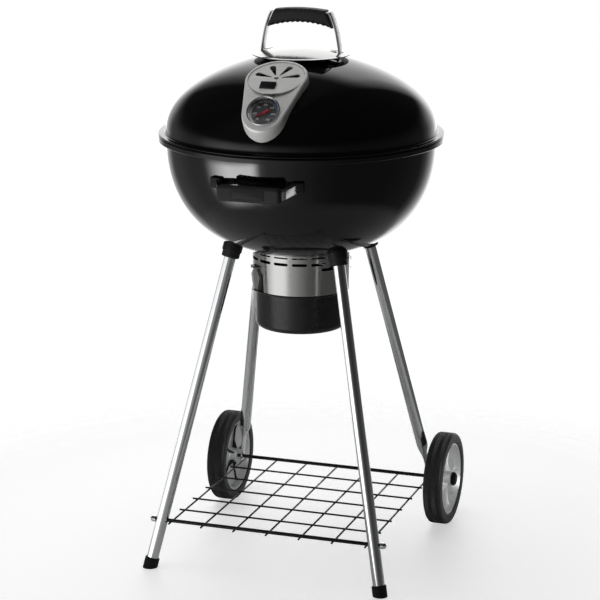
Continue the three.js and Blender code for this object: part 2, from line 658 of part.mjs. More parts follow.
function legBoot(line) {
  const base = LEG_JOIN - 1;
  const sleeve = join(
    rod(onLeg(line, base), onLeg(line, 705), 19, 16),
    rod(onLeg(line, base + 12), onLeg(line, 705), 21, 16));
  const bore = rod(onLeg(line, base - 20), onLeg(line, 720), LEG_RADIUS + GAP, 12);
  return cut(sleeve, bore, insideBowl(GAP).translate(0, 0, RIM_HEIGHT));
}

function footCap(line) {
  const body = rod(onLeg(line, -20), onLeg(line, 21), 15.5, 20);
  const bore = rod(onLeg(line, 5), onLeg(line, 60), LEG_RADIUS + GAP, 12);
  return cut(body, bore, box(200, 200, 40, [line.low[0], line.low[1], -20]));
}

function buildLegs() {
  for (const [side, sign] of Object.entries(SIDES)) {
    const front = legLine(sign, true);
    const rear = legLine(sign, false);
    part(`leg_front_${side}`, grill, frontLeg(front), CHROME);
    part(`leg_rear_${side}`, grill, rearLeg(rear), CHROME);
    part(`leg_boot_front_${side}`, grill, legBoot(front), PLASTIC);
    part(`leg_boot_rear_${side}`, grill, legBoot(rear), PLASTIC);
    part(`foot_cap_${side}`, grill, footCap(front), RUBBER);
  }
}

// ---- rack, axle and wheels ----------------------------------------------------------------------

function barHeight() {
  return RACK.wireHeight + BAR_RADIUS + RACK.wireRadius - 0.5;
}

function wireRack() {
  const half = ((RACK.wires - 1) / 2) * RACK.pitch;
  const xs = Array.from({ length: RACK.wires }, (_, i) => -half + i * RACK.pitch);
  const depth = AXLE.y - RACK.front;
  const ys = Array.from({ length: RACK.crossWires }, (_, i) => (
    RACK.front + (depth * (i + 1)) / (RACK.crossWires + 1)));
  const long = xs.map((x) => (
    rod([x, RACK.front - 8, RACK.wireHeight], [x, AXLE.y + 11, RACK.wireHeight], RACK.wireRadius, 6)));
  const crossHeight = RACK.wireHeight + 1.8 * RACK.wireRadius;
  const cross = ys.map((y) => (
    rod([-half - 9, y, crossHeight], [half + 9, y, crossHeight], RACK.wireRadius, 6)));
  const bar = rod([-257, RACK.front, barHeight()], [257, RACK.front, barHeight()], BAR_RADIUS);
  return join(bar, ...long, ...cross);
}

// Geometry turned so that its own +Z runs along +X.
function alongX(geometry) {
  return geometry.rotateY(Math.PI / 2);
}

function acornNut() {
  const body = revolve([[0, 0], [6.5, 0], [6.5, 6], [5, 10], [2.5, 12], [0, 12.5]], 12);
  return cut(body, disc(BAR_RADIUS + GAP, -5, 7.5, 12));
}

function buildRack() {
  part('wire_rack', grill, wireRack(), BLACK_STEEL);
  const { y, z, radius, halfLength } = AXLE;
  part('axle', grill, rod([-halfLength, y, z], [halfLength, y, z], radius, 24), BLACK_STEEL);
  for (const [side, sign] of Object.entries(SIDES)) {
    const nut = acornNut().rotateY((sign * Math.PI) / 2);
    part(`rack_nut_${side}`, grill, nut, CHROME, [sign * 250.5, RACK.front, barHeight()]);
    const lump = revolve([[0, 0], [15, 0], [15, 5], [11, 9], [0, 9.5]], 20);
    const cap = cut(lump, disc(radius + GAP, -5, 5.5, 20)).rotateY((sign * Math.PI) / 2);
    part(`axle_cap_${side}`, grill, cap, PLASTIC, [sign * 276, y, z]);
  }
}

function buildWheels() {
  const halfTyre = TYRE_WIDTH / 2;
  const tread = 6;
  for (const [side, sign] of Object.entries(SIDES)) {
    const wheel = group(grill, [sign * WHEEL_X, AXLE.y, AXLE.z]);
    part(`tyre_${side}`, wheel, alongX(ring([
      [WHEEL_RADIUS + GAP, -halfTyre], [TYRE_RADIUS - tread, -halfTyre], [TYRE_RADIUS, -halfTyre + tread],
      [TYRE_RADIUS, halfTyre - tread], [TYRE_RADIUS - tread, halfTyre], [WHEEL_RADIUS + GAP, halfTyre],
    ], 32)), RUBBER);
    const hub = 16;
    part(`wheel_${side}`, wheel, alongX(ring([
      [AXLE.radius + 0.25, -19], [hub, -19], [hub, -3], [72, -3], [76, -18], [WHEEL_RADIUS, -18],
      [WHEEL_RADIUS, 18], [76, 18], [72, 3], [hub, 3], [hub, 19], [AXLE.radius + 0.25, 19],
    ], 32)), WHEEL_PLASTIC);
  }
}

buildLid();
buildVent();
buildThermometer();
buildBowl();
buildBowlHandle();
buildAshCatcher();
buildSweep();
buildLegs();
buildRack();
buildWheels();

export default grill;
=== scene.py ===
import math

import bmesh
import bpy
from mathutils import Matrix, Vector


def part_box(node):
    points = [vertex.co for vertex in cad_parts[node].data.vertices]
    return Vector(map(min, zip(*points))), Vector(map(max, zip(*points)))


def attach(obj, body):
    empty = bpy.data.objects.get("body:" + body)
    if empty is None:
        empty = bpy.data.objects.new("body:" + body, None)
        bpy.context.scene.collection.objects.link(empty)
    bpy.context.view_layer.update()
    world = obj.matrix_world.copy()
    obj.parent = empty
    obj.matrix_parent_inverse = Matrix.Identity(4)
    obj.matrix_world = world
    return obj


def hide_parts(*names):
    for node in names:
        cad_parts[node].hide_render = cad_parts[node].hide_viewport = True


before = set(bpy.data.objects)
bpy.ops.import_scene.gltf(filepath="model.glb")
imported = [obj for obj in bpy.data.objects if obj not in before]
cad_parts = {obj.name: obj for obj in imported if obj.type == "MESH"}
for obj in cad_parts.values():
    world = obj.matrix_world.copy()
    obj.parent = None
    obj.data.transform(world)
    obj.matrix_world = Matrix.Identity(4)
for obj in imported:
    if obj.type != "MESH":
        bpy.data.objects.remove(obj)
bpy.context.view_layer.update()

MM = 0.001
GAP = 0.3
SIDES = {"left": -1, "right": 1}


# ---- sizes taken from the frame ---------------------------------------------------------------------

def low(node):
    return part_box(node)[0] / MM


def high(node):
    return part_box(node)[1] / MM


def middle(node):
    return (low(node) + high(node)) / 2


RIM = high("bowl_shell").z
FLANGE_RADIUS = high("bowl_shell").x
BOWL_DEPTH = RIM - low("bowl_shell").z
LID_RISE = high("lid_shell").z - RIM
SHIELD_RADIUS = high("heat_shield").x
SHIELD_TOP = high("heat_shield").z
SKIRT_BOTTOM = low("ash_skirt").z
POT_BOTTOM = low("ash_pot").z
POT_TOP = high("ash_pot").z
AXLE_Y = middle("axle").y
AXLE_Z = middle("axle").z
WHEEL_X = middle("tyre_right").x
TYRE_RADIUS = (high("tyre_right").z - low("tyre_right").z) / 2
TYRE_WIDTH = high("tyre_right").x - low("tyre_right").x

SHEET = 1.2
BOWL_RADIUS = 284
BOWL_SHOULDER = 16
LID_RADIUS = 284.5
LIP_HEIGHT = 4
FLANGE_DROP = 12
LID_TURN = math.radians(2.6)
VENT_TILT = math.radians(24)
DIAL_TILT = math.radians(48)
DAMPER_RADIUS = 57.6
DAMPER_SLOTS = (15, 65, 115, 165)
BEZEL_VENT_RADIUS = 64
BEZEL_DIAL_RADIUS = 45
DIAL_RADIUS = 34.4
SHIELD_DOME = 14
SKIRT_RADIUS = 104.5
SKIRT_SLOTS = 16
SLOT_LENGTH = 32
SLOT_ROWS = ((651, 6), (664.6, 3.2))  # each row's height, and how tall its vents are
SLOT_PHASE = -5.6
LEVER_HEIGHT = 639
LEVER_ANGLE = -28
POT_RADIUS = 97.8
LATCH_ANGLES = {"left": 225, "right": 45}
LATCH_PIVOT_RADIUS = 109.5
LATCH_PIVOT_HEIGHT = 634
LEG_RADIUS = 12.5
LEG_JOIN = 661
FRONT_LEG = ((120.2, -109.1), (256.9, -244.8, 0))
REAR_LEG = ((123, 94), (225.7, AXLE_Y - 1.5, AXLE_Z))
BAR_RADIUS = 4
WIRE_RADIUS = 2
RACK_FRONT = -223
RACK_HEIGHT = 96.2
WHEEL_RADIUS = 80.1


# ---- mesh building ----------------------------------------------------------------------------------

def polar(radius, degrees, height=0.0):
    angle = math.radians(degrees)
    return Vector((radius * math.cos(angle), radius * math.sin(angle), height))


def blend(start, end, share):
    return start + (end - start) * share


def smooth(share):
    share = min(max(share, 0.0), 1.0)
    return share * share * (3 - 2 * share)


def loft(rings, closed=False, cap=True):
    """Quads between rings of equally many points. closed joins the last ring to the first one."""
    bm = bmesh.new()
    rows = [[bm.verts.new(point) for point in ring] for ring in rings]
    pairs = list(zip(rows, rows[1:])) + ([(rows[-1], rows[0])] if closed else [])
    for first, second in pairs:
        for i in range(len(first)):
            j = (i + 1) % len(first)
            bm.faces.new((first[i], first[j], second[j], second[i]))
    if cap and not closed:
        bm.faces.new(reversed(rows[0]))
        bm.faces.new(rows[-1])
    bmesh.ops.remove_doubles(bm, verts=bm.verts, dist=1e-4)
    bmesh.ops.recalc_face_normals(bm, faces=bm.faces)
    return bm


def turned(section, facets=128, closed=True):
    """A section of (radius, height) points turned about +Z. closed joins its two ends."""
    rings = []
    for i in range(facets):
        angle = 2 * math.pi * i / facets
        rings.append([(r * math.cos(angle), r * math.sin(angle), z) for r, z in section])
    bm = bmesh.new()
    rows = [[bm.verts.new(point) for point in ring] for ring in rings]
    count = len(section)
    for first, second in zip(rows, rows[1:] + rows[:1]):
        for i in range(count if closed else count - 1):
            j = (i + 1) % count
            bm.faces.new((first[i], second[i], second[j], first[j]))
    bmesh.ops.remove_doubles(bm, verts=bm.verts, dist=1e-4)
    bmesh.ops.dissolve_degenerate(bm, edges=bm.edges, dist=1e-5)
    bmesh.ops.recalc_face_normals(bm, faces=bm.faces)
    return bm


def prism(outline, bottom, top, edge=0.0, segments=3):
    """A flat outline of (x, y) corners pushed up between two heights, with its sharp edges rounded."""
    bm = loft([[(x, y, z) for x, y in outline] for z in (bottom, top)])
    return rounded(bm, edge, segments)


def rounded(bm, edge, segments=3, angle=40):
    if edge > 0:
        sharp = [e for e in bm.edges if e.is_manifold and e.calc_face_angle() > math.radians(angle)]
        bmesh.ops.bevel(bm, geom=sharp, offset=edge, segments=segments, profile=0.5,
                        affect="EDGES", clamp_overlap=True)
    return bm


def tube(path, radius, sides=16, closed=False, squash=None):
    """A round bar along a path of points. squash(i) gives the (wide, thin) scales of its section."""
    points = [Vector(point) for point in path]
    count = len(points)
    rings = []
    across = None
    for i, point in enumerate(points):
        before = points[i - 1] if closed or i else point
        after = points[(i + 1) % count] if closed or i < count - 1 else point
        along = (after - before).normalized()
        if across is None:
            across = along.orthogonal().normalized()
        across = (across - along * across.dot(along)).normalized()
        up = along.cross(across)
        wide, thin = squash(i) if squash else (1, 1)
        rings.append([
            point + radius * (wide * math.cos(a) * across + thin * math.sin(a) * up)
            for a in (2 * math.pi * k / sides for k in range(sides))
        ])
    return loft(rings, closed=closed)


def tapered(path, radius, scales, sides):
    """A round bar whose radius is scaled by its own number at each point of the path."""
    return tube(path, radius, sides, squash=lambda i: (scales[i], scales[i]))


def dome_ended(start, end, radius, sides=20, tip=0.6):
    """A straight bar whose two ends are slightly rounded."""
    start, end = Vector(start), Vector(end)
    along = (end - start).normalized()
    line = [start, start + along * tip * 0.4, start + along * tip]
    line += [end - along * tip, end - along * tip * 0.4, end]
    scale = (1 - tip / radius, 1 - 0.35 * tip / radius, 1, 1, 1 - 0.35 * tip / radius, 1 - tip / radius)
    return tapered(line, radius, scale, sides)


def block(x, y, z, at=(0, 0, 0), edge=0.8):
    outline = [(-x / 2, -y / 2), (x / 2, -y / 2), (x / 2, y / 2), (-x / 2, y / 2)]
    bm = prism(outline, -z / 2, z / 2, edge)
    return moved(bm, Matrix.Translation(at))


def shift(x, y, z):
    return Matrix.Translation((x, y, z))


def turn_z(degrees):
    return Matrix.Rotation(math.radians(degrees), 4, "Z")


def moved(bm, matrix):
    bmesh.ops.transform(bm, matrix=matrix, verts=bm.verts)
    return bm


def joined(*parts):
    """Several shapes in one mesh, each still a closed body of its own."""
    whole = bmesh.new()
    for part in parts:
        mesh = bpy.data.meshes.new("part")
        part.to_mesh(mesh)
        whole.from_mesh(mesh)
        part.free()
        bpy.data.meshes.remove(mesh)
    return whole


def object_of(bm, name="shape"):
    mesh = bpy.data.meshes.new(name)
    bm.to_mesh(mesh)
    bm.free()
    thing = bpy.data.objects.new(name, mesh)
    bpy.context.scene.collection.objects.link(thing)
    return thing


def boolean(base, tool, operation):
    """The base shape with the tool taken away, added or kept in common."""
    first, second = object_of(base), object_of(tool)
    modifier = first.modifiers.new("boolean", "BOOLEAN")
    modifier.operation = operation
    modifier.solver = "EXACT"
    modifier.object = second
    depsgraph = bpy.context.evaluated_depsgraph_get()
    result = bmesh.new()
    result.from_mesh(first.evaluated_get(depsgraph).to_mesh())
    for thing in (first, second):
        mesh = thing.data
        bpy.data.objects.remove(thing)
        bpy.data.meshes.remove(mesh)
    return result


def cut(base, *tools):
    for tool in tools:
        base = boolean(base, tool, "DIFFERENCE")
    return base


def common(base, tool):
    return boolean(base, tool, "INTERSECT")


def piece(name, bm, look, body, nodes=(), place=None, sharp=35):
    """Makes the object of a shape, places it, and ties it to the frame."""
    if place is not None:
        moved(bm, place)
    bmesh.ops.scale(bm, vec=(MM, MM, MM), verts=bm.verts)
    thing = object_of(bm, name)
    thing.data.shade_smooth()
    thing.data.set_sharp_from_angle(angle=math.radians(sharp))
    thing.data.materials.append(look)
    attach(thing, body)
    if nodes:
        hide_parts(*((nodes,) if isinstance(nodes, str) else nodes))
    return thing


# ---- outlines ---------------------------------------------------------------------------------------

def arc(centre, radius, start, end, steps=8):
    return [
        (centre[0] + radius * math.cos(a), centre[1] + radius * math.sin(a))
        for a in (math.radians(start + (end - start) * i / steps) for i in range(steps + 1))
    ]


def circle(radius, steps=64):
    return arc((0, 0), radius, 0, 360 * (steps - 1) / steps, steps - 1)


def rounded_rectangle(width, height, corner, steps=6):
    x, y = width / 2 - corner, height / 2 - corner
    corners = (((x, y), 0), ((-x, y), 90), ((-x, -y), 180), ((x, -y), 270))
    return [point for centre, start in corners for point in arc(centre, corner, start, start + 90, steps)]


def teardrop(first, second, distance, steps=24):
    """Two arcs and their outer tangents: first radius round the origin, second round (0, distance)."""
    lean = math.degrees(math.asin((first - second) / distance))
    lower = arc((0, 0), first, 180 - lean, 360 + lean, steps)
    upper = arc((0, distance), second, lean, 180 - lean, steps)
    return lower + upper


def fillet(path, radius, steps=5):
    """A path of (x, y) points whose inner corners are rounded."""
    points = [Vector(point) for point in path]
    result = [tuple(points[0])]
    for before, corner, after in zip(points, points[1:], points[2:]):
        to_before, to_after = before - corner, after - corner
        reach = min(radius, to_before.length * 0.45, to_after.length * 0.45)
        start, end = corner + to_before.normalized() * reach, corner + to_after.normalized() * reach
        for i in range(steps + 1):
            t = i / steps
            result.append(tuple(start * (1 - t) ** 2 + corner * 2 * t * (1 - t) + end * t ** 2))
    result.append(tuple(points[-1]))
    return result


def bezier(first, second, third, steps=8):
    points = (Vector(first), Vector(second), Vector(third))
    return [
        tuple(points[0] * (1 - t) ** 2 + points[1] * 2 * t * (1 - t) + points[2] * t ** 2)
        for t in (i / steps for i in range(steps + 1))
    ]


def ribbon(path, thickness):
    """A path given a thickness, as a closed outline."""
    points = [Vector(point) for point in path]
    sides = ([], [])
    for i, point in enumerate(points):
        along = (points[min(i + 1, len(points) - 1)] - points[max(i - 1, 0)]).normalized()
        normal = Vector((-along.y, along.x)) * thickness / 2
        sides[0].append(tuple(point + normal))
        sides[1].append(tuple(point - normal))
    return sides[0] + sides[1][::-1]


def mirrored(half):
    return [(-x, y) for x, y in reversed(half)] + [point for point in half if point[0] > 0]


UPRIGHT = Matrix.Rotation(math.radians(90), 4, "X")          # a flat outline stood in the X-Z plane
STANDING = Matrix(((0, 0, 1, 0), (1, 0, 0, 0), (0, 1, 0, 0), (0, 0, 0, 1)))   # (across, up, out) to X out
ALONG_X = Matrix.Rotation(math.radians(90), 4, "Y")


# ---- surfaces of the kettle -------------------------------------------------------------------------

def dome(radius, rise, radius_power, rise_power, steps):
    """A quarter section from the axis to the widest circle, as (radius, rise) points."""
    points = [(0.0, float(rise))]
    for i in range(1, steps + 1):
        t = (math.pi / 2) * (1 - i / steps)
        points.append((radius * math.cos(t) ** radius_power, rise * math.sin(t) ** rise_power))
    return points


LID_SECTION = [(r, LIP_HEIGHT + z) for r, z in dome(LID_RADIUS, LID_RISE - LIP_HEIGHT, 1.351, 0.905, 44)]
BOWL_SECTION = [(r, -BOWL_SHOULDER - z)
                for r, z in dome(BOWL_RADIUS, BOWL_DEPTH - BOWL_SHOULDER, 0.757, 0.93, 44)]


def offset(section, distance):
    """The section moved outwards along its own normals."""
    rising = 1 if section[0][1] > section[-1][1] else -1
    result = [(0.0, section[0][1] + rising * distance)]
    for i in range(1, len(section)):
        before, after = Vector(section[i - 1]), Vector(section[min(i + 1, len(section) - 1)])
        along = (after - before).normalized()
        outwards = 1 if along.y < 0 else -1
        move = outwards * distance
        result.append((section[i][0] - along.y * move, section[i][1] + along.x * move))
    return result


KETTLE = shift(0, 0, RIM)
LID = KETTLE @ Matrix.Rotation(LID_TURN, 4, "Z")


def lid_frame(node, tilt, lift):
    """A frame on the lid's front, whose +Z is the face normal. lift is the node's height above its origin."""
    turn = Matrix.Rotation(LID_TURN, 4, "Z") @ Matrix.Rotation(tilt, 4, "X")
    normal = turn @ Vector((0, 0, 1))
    return Matrix.Translation(middle(node) - normal * lift) @ turn


VENT = lid_frame("vent_damper", VENT_TILT, -2.6)
DIAL = lid_frame("thermometer_lens", DIAL_TILT, 1.2)


def in_lid(matrix):
    return LID.inverted() @ matrix


def solid_below(section, drop):
    return turned(section + [(section[-1][0], drop), (0, drop)], 96)


def under_lid(distance):
    return solid_below(offset(LID_SECTION, distance)[::2], -40)


def inside_bowl(distance):
    return solid_below(offset(BOWL_SECTION, distance)[::2], 20)


# ---- materials --------------------------------------------------------------------------------------

def ranged(tree, value, start, end, first, last, easing="SMOOTHSTEP"):
    """The value carried from the range start..end to first..last."""
    node = tree.nodes.new("ShaderNodeMapRange")
    node.interpolation_type = easing
    for name, number in zip(("From Min", "From Max", "To Min", "To Max"), (start, end, first, last)):
        node.inputs[name].default_value = number
    tree.links.new(value, node.inputs["Value"])
    return node.outputs["Result"]


def shader(name, colour, roughness, metallic=0.0, second=None, spread=0.06, scale=40.0, stretch=(1, 1, 1),
           bump=0.0, bump_scale=None, detail=4.0, specular=0.5):
    """A Principled material whose colour and roughness wander with noise, with a fine relief on top."""
    material = bpy.data.materials.new(name)
    material.use_nodes = True
    nodes, links = material.node_tree.nodes, material.node_tree.links
    base = nodes["Principled BSDF"]
    base.inputs["Metallic"].default_value = metallic
    base.inputs["Specular IOR Level"].default_value = specular
    place = nodes.new("ShaderNodeTexCoord")
    mapping = nodes.new("ShaderNodeMapping")
    mapping.inputs["Scale"].default_value = stretch
    links.new(place.outputs["Object"], mapping.inputs["Vector"])
    noise = nodes.new("ShaderNodeTexNoise")
    noise.inputs["Scale"].default_value = scale
    noise.inputs["Detail"].default_value = detail
    links.new(mapping.outputs["Vector"], noise.inputs["Vector"])
    tones = nodes.new("ShaderNodeValToRGB")
    tones.color_ramp.elements[0].position = 0.32
    tones.color_ramp.elements[1].position = 0.68
    tones.color_ramp.elements[0].color = (*colour, 1)
    tones.color_ramp.elements[1].color = (*(second or [c * 1.15 for c in colour]), 1)
    links.new(noise.outputs["Fac"], tones.inputs["Fac"])
    links.new(tones.outputs["Color"], base.inputs["Base Color"])
    gloss = ranged(material.node_tree, noise.outputs["Fac"], 0.3, 0.7, max(roughness - spread, 0.01),
                   roughness + spread, "LINEAR")
    links.new(gloss, base.inputs["Roughness"])
    if bump:
        grain = nodes.new("ShaderNodeTexNoise")
        grain.inputs["Scale"].default_value = bump_scale or scale
        grain.inputs["Detail"].default_value = 3.0
        links.new(mapping.outputs["Vector"], grain.inputs["Vector"])
        relief = nodes.new("ShaderNodeBump")
        relief.inputs["Strength"].default_value = bump
        relief.inputs["Distance"].default_value = MM * 0.2
        links.new(grain.outputs["Fac"], relief.inputs["Height"])
        links.new(relief.outputs["Normal"], base.inputs["Normal"])
    return material


def enamel():
    """Black porcelain enamel: a glassy coat that flows very slightly."""
    return shader("black_enamel", (0.0022, 0.0022, 0.0024), 0.075, spread=0.02, scale=9.0, bump=0.06,
                  bump_scale=55.0, specular=0.36)


def brushed(name, tone, roughness, stretch, spread=0.07):
    """Sheet steel with fine brushing along one direction."""
    dark = tuple(channel * 0.93 for channel in tone)
    return shader(name, dark, roughness, 1.0, second=tone, spread=spread, scale=60.0, stretch=stretch,
                  bump=0.12, bump_scale=160.0)


def plastic(name, tone, roughness, bump=0.25, bump_scale=900.0):
    return shader(name, tone, roughness, second=[c * 1.35 for c in tone], spread=0.05, scale=120.0,
                  bump=bump, bump_scale=bump_scale, specular=0.28)


def glass():
    material = shader("lens_glass", (0.96, 0.98, 1.0), 0.02, spread=0.01, scale=20.0)
    base = material.node_tree.nodes["Principled BSDF"]
    base.inputs["Transmission Weight"].default_value = 1.0
    base.inputs["IOR"].default_value = 1.2
    return material


ENAMEL = enamel()
STEEL = brushed("stainless", (0.44, 0.44, 0.43), 0.19, (1, 1, 14))
SHIELD = brushed("polished_disc", (0.36, 0.36, 0.355), 0.16, (6, 1, 1), spread=0.04)
STRAP = brushed("strap_steel", (0.40, 0.40, 0.39), 0.28, (1, 1, 10))
PLAIN_STEEL = brushed("plain_steel", (0.60, 0.60, 0.59), 0.30, (1, 1, 1))
CHROME = shader("chrome", (0.70, 0.71, 0.72), 0.07, 1.0, second=(0.76, 0.77, 0.78), spread=0.02, scale=25.0)
BRIGHT = shader("bright_trim", (0.82, 0.83, 0.84), 0.10, 1.0, second=(0.9, 0.9, 0.9), spread=0.03, scale=60.0)
CAST = shader("cast_housing", (0.76, 0.755, 0.74), 0.36, 0.3, second=(0.81, 0.805, 0.79), spread=0.05,
              scale=30.0, bump=0.10, bump_scale=700.0)
PLASTIC = plastic("black_plastic", (0.008, 0.008, 0.009), 0.50)
GRIP = plastic("lid_grip_plastic", (0.020, 0.020, 0.022), 0.50)
RUBBER = plastic("black_rubber", (0.010, 0.010, 0.010), 0.55, bump=0.15)
RIB = shader("wheel_rib_plastic", (0.80, 0.805, 0.81), 0.30, 0.35, second=(0.86, 0.865, 0.87))
TYRE = plastic("tyre_rubber", (0.016, 0.016, 0.017), 0.42, bump=0.2)
BLACK_STEEL = shader("black_steel", (0.008, 0.008, 0.008), 0.30, second=(0.012, 0.012, 0.012), spread=0.06,
                     scale=60.0, bump=0.08, bump_scale=500.0, specular=0.45)
WHEEL = shader("wheel_plastic", (0.52, 0.525, 0.53), 0.32, 0.35, second=(0.58, 0.585, 0.59), spread=0.05,
               scale=50.0, bump=0.08, bump_scale=600.0)
GRATE = shader("grate_steel", (0.42, 0.42, 0.41), 0.35, 1.0, second=(0.52, 0.52, 0.50), spread=0.1,
               scale=80.0)
IRON = shader("iron_bars", (0.05, 0.045, 0.04), 0.7, 0.6, second=(0.09, 0.075, 0.065), spread=0.1, scale=90.0,
              bump=0.3, bump_scale=700.0)
DIAL_BLACK = plastic("dial_black", (0.012, 0.013, 0.017), 0.35, bump=0.0)
DIAL_WHITE = plastic("dial_white", (0.75, 0.76, 0.78), 0.5, bump=0.05)
DIAL_GREY = plastic("dial_grey", (0.20, 0.22, 0.25), 0.5, bump=0.05)
DIAL_BLUE = plastic("dial_blue", (0.03, 0.12, 0.30), 0.5, bump=0.05)
RED = plastic("needle_red", (0.60, 0.012, 0.035), 0.4, bump=0.05)
GLASS = glass()


# ---- lid --------------------------------------------------------------------------------------------

BAIL_WIDTH = 26
BAIL_THICKNESS = 2.5
BOLT_X = 71
BAIL_ARM = bezier((66, 248), (80, 215), (84.5, 166), 12)
BAIL_PATH = mirrored([(0, 251), (52, 254.5)] + fillet([(57, 254.8), (63, 253.6), BAIL_ARM[1]], 6)[1:]
                     + BAIL_ARM[2:-1] + fillet([BAIL_ARM[-2], BAIL_ARM[-1], (56, 172)], 4)[1:])


def bolt_hole(side):
    return prism([(x + side * BOLT_X, y) for x, y in circle(2.9, 20)], 100, 200)


def damper_slot(degrees, bottom, top):
    outline = [(x, y + 12) for x, y in teardrop(1.4, 6.4, 30, 12)]
    return moved(prism(outline, bottom, top), turn_z(degrees - 90))


def lid_dome():
    """The dome, its wall flowing into the rolled lip that rests on the bowl."""
    lip = arc((FLANGE_RADIUS - 1.7, GAP + 1.75), 1.7, 90, -90, 8)
    neck = [(r, z) for r, z in arc((LID_RADIUS + 5, LIP_HEIGHT + 4.4), 5, 180, 270, 6)]
    outer = [point for point in LID_SECTION if point[1] > LIP_HEIGHT + 5] + neck[1:]
    inner = offset(LID_SECTION, -SHEET)[::-1]
    section = outer + lip + [(LID_RADIUS - SHEET, GAP)] + inner
    shell = turned(section, 192)
    slots = [moved(damper_slot(degrees, -40, 10), in_lid(VENT)) for degrees in DAMPER_SLOTS]
    stem = moved(prism(circle(5, 24), -60, 10), in_lid(DIAL))
    bolts = [bolt_hole(side) for side in SIDES.values()]
    return cut(shell, joined(*slots, stem, *bolts))


def shield_disc():
    """A shallow domed disc with a curled edge, and the two openings that the bail's arms pass through."""
    steps = 24
    edge = SHIELD_TOP - RIM - SHIELD_DOME
    top = [(SHIELD_RADIUS * i / steps, edge + SHIELD_DOME * (1 - (i / steps) ** 2)) for i in range(steps)]
    curl = arc((SHIELD_RADIUS - 1.1, edge + 0.1), 1.1, 60, -110, 8)
    under = [(r, z - SHEET) for r, z in reversed(top)]
    disc = turned(top + curl + under, 160)
    openings = [
        prism([(x + side * 76.5, y) for x, y in rounded_rectangle(25, BAIL_WIDTH + 2, 4)], 130, 200)
        for side in SIDES.values()
    ]
    return cut(disc, joined(*openings))


def lid_bail():
    strap = prism(ribbon(BAIL_PATH, BAIL_THICKNESS), -BAIL_WIDTH / 2, BAIL_WIDTH / 2, 0.7, 2)
    holes = [bolt_hole(side) for side in SIDES.values()]
    return cut(moved(strap, UPRIGHT), joined(*holes))


def grip_section(x, top, bottom, half):
    """A barrel-shaped section of the lid grip across Y."""
    height = top - bottom
    middle_z = (top + bottom) / 2
    points = []
    for i in range(32):
        angle = 2 * math.pi * i / 32
        c, s = math.cos(angle), math.sin(angle)
        y = half * math.copysign(abs(c) ** 0.45, c)
        z = middle_z + height / 2 * math.copysign(abs(s) ** 0.55, s)
        points.append((x, y, z))
    return points


def lid_grip():
    """The moulded grip: crowned along its length, with fine ribs across its top and finger waves below."""
    half_length = 69
    steps = 150
    rings = []
    for i in range(steps + 1):
        share = -1 + 2 * i / steps
        x = half_length * share
        reach = abs(x)
        top = 262.4 - 3.4 * (reach / 54) ** 2 if reach < 54 else 259 - 33.0 * ((reach - 54) / 15) ** 1.35
        bottom = 233.2 - 10.4 * (reach / 66) ** 2.1
        ribs = 0.35 * math.cos(x * 2 * math.pi / 5.0) * smooth((44 - reach) / 10)
        waves = 0.9 * math.cos(x * 2 * math.pi / 11.0) * smooth((62 - reach) / 8)
        half = (BAIL_WIDTH + 7) / 2 - 0.6 * (reach / half_length) ** 2
        rings.append(grip_section(x, top + ribs, min(bottom + waves, top - 2), half))
    half_channel = BAIL_WIDTH / 2 + 0.4
    channel = prism(ribbon(BAIL_PATH, BAIL_THICKNESS + 0.8), -half_channel, half_channel)
    return cut(loft(rings), moved(channel, UPRIGHT))


def lid_bolt():
    head = turned([(0, 174.4), (3.4, 174.2), (4.6, 173.2), (5, 171.8), (5, 171.4), (2.5, 171.4), (2.5, 161.4),
                   (0, 161.4)], 32)
    nut = prism(circle(5.5, 6), 158, 161.2, 0.4)
    return joined(head, nut)


def vent_sections():
    """Teardrop outlines of the housing as (polar angle, reach) in the plane of its face."""
    return teardrop(BEZEL_DIAL_RADIUS, BEZEL_VENT_RADIUS, DIAL_TO_VENT.length, 40)


DIAL_TO_VENT = in_lid(VENT).translation - in_lid(DIAL).translation
HOUSING_TILT = math.atan2(-DIAL_TO_VENT.z, -DIAL_TO_VENT.y) + math.pi
HOUSING = in_lid(DIAL) @ Matrix.Rotation(HOUSING_TILT - DIAL_TILT, 4, "X")


def face_height(x, y):
    """Height above the housing frame of its face: two flats that meet in a soft ridge."""
    dial_slope = math.tan(DIAL_TILT - HOUSING_TILT)
    vent_slope = math.tan(VENT_TILT - HOUSING_TILT)
    dial = dial_slope * y
    vent = vent_slope * (y - DIAL_TO_VENT.length)
    softness = 3.0
    return -softness * math.log(math.exp(-dial / softness) + math.exp(-vent / softness))


def vent_housing():
    """A teardrop block with a rounded shoulder, recesses for damper and dial, and an open duct."""
    outline = vent_sections()
    shoulder = 4.0
    rings = []
    for depth in (-60, -40, -20, -8):
        rings.append([(x, y, face_height(x, y) + depth) for x, y in outline])
    for i in range(1, 8):
        angle = math.radians(90 * i / 7)
        inset = shoulder * (1 - math.cos(angle))
        drop = shoulder * (1 - math.sin(angle))
        inner = teardrop(BEZEL_DIAL_RADIUS - inset, BEZEL_VENT_RADIUS - inset, DIAL_TO_VENT.length, 40)
        rings.append([(x, y, face_height(x, y) - drop) for x, y in inner])
    for share in (0.75, 0.5, 0.25):
        inner = teardrop((BEZEL_DIAL_RADIUS - shoulder) * share, (BEZEL_VENT_RADIUS - shoulder) * share,
                         DIAL_TO_VENT.length, 40)
        rings.append([(x, y, face_height(x, y)) for x, y in inner])
    body = moved(loft(rings), HOUSING)
    pocket = moved(prism(circle(DAMPER_RADIUS + 0.6, 96), -4, 20), in_lid(VENT))
    duct = moved(prism(circle(DAMPER_RADIUS - 5, 96), -70, 20), in_lid(VENT))
    bore = moved(prism(circle(DIAL_RADIUS - 2.4, 72), -70, 20), in_lid(DIAL))
    return cut(body, under_lid(GAP), pocket, duct, bore)


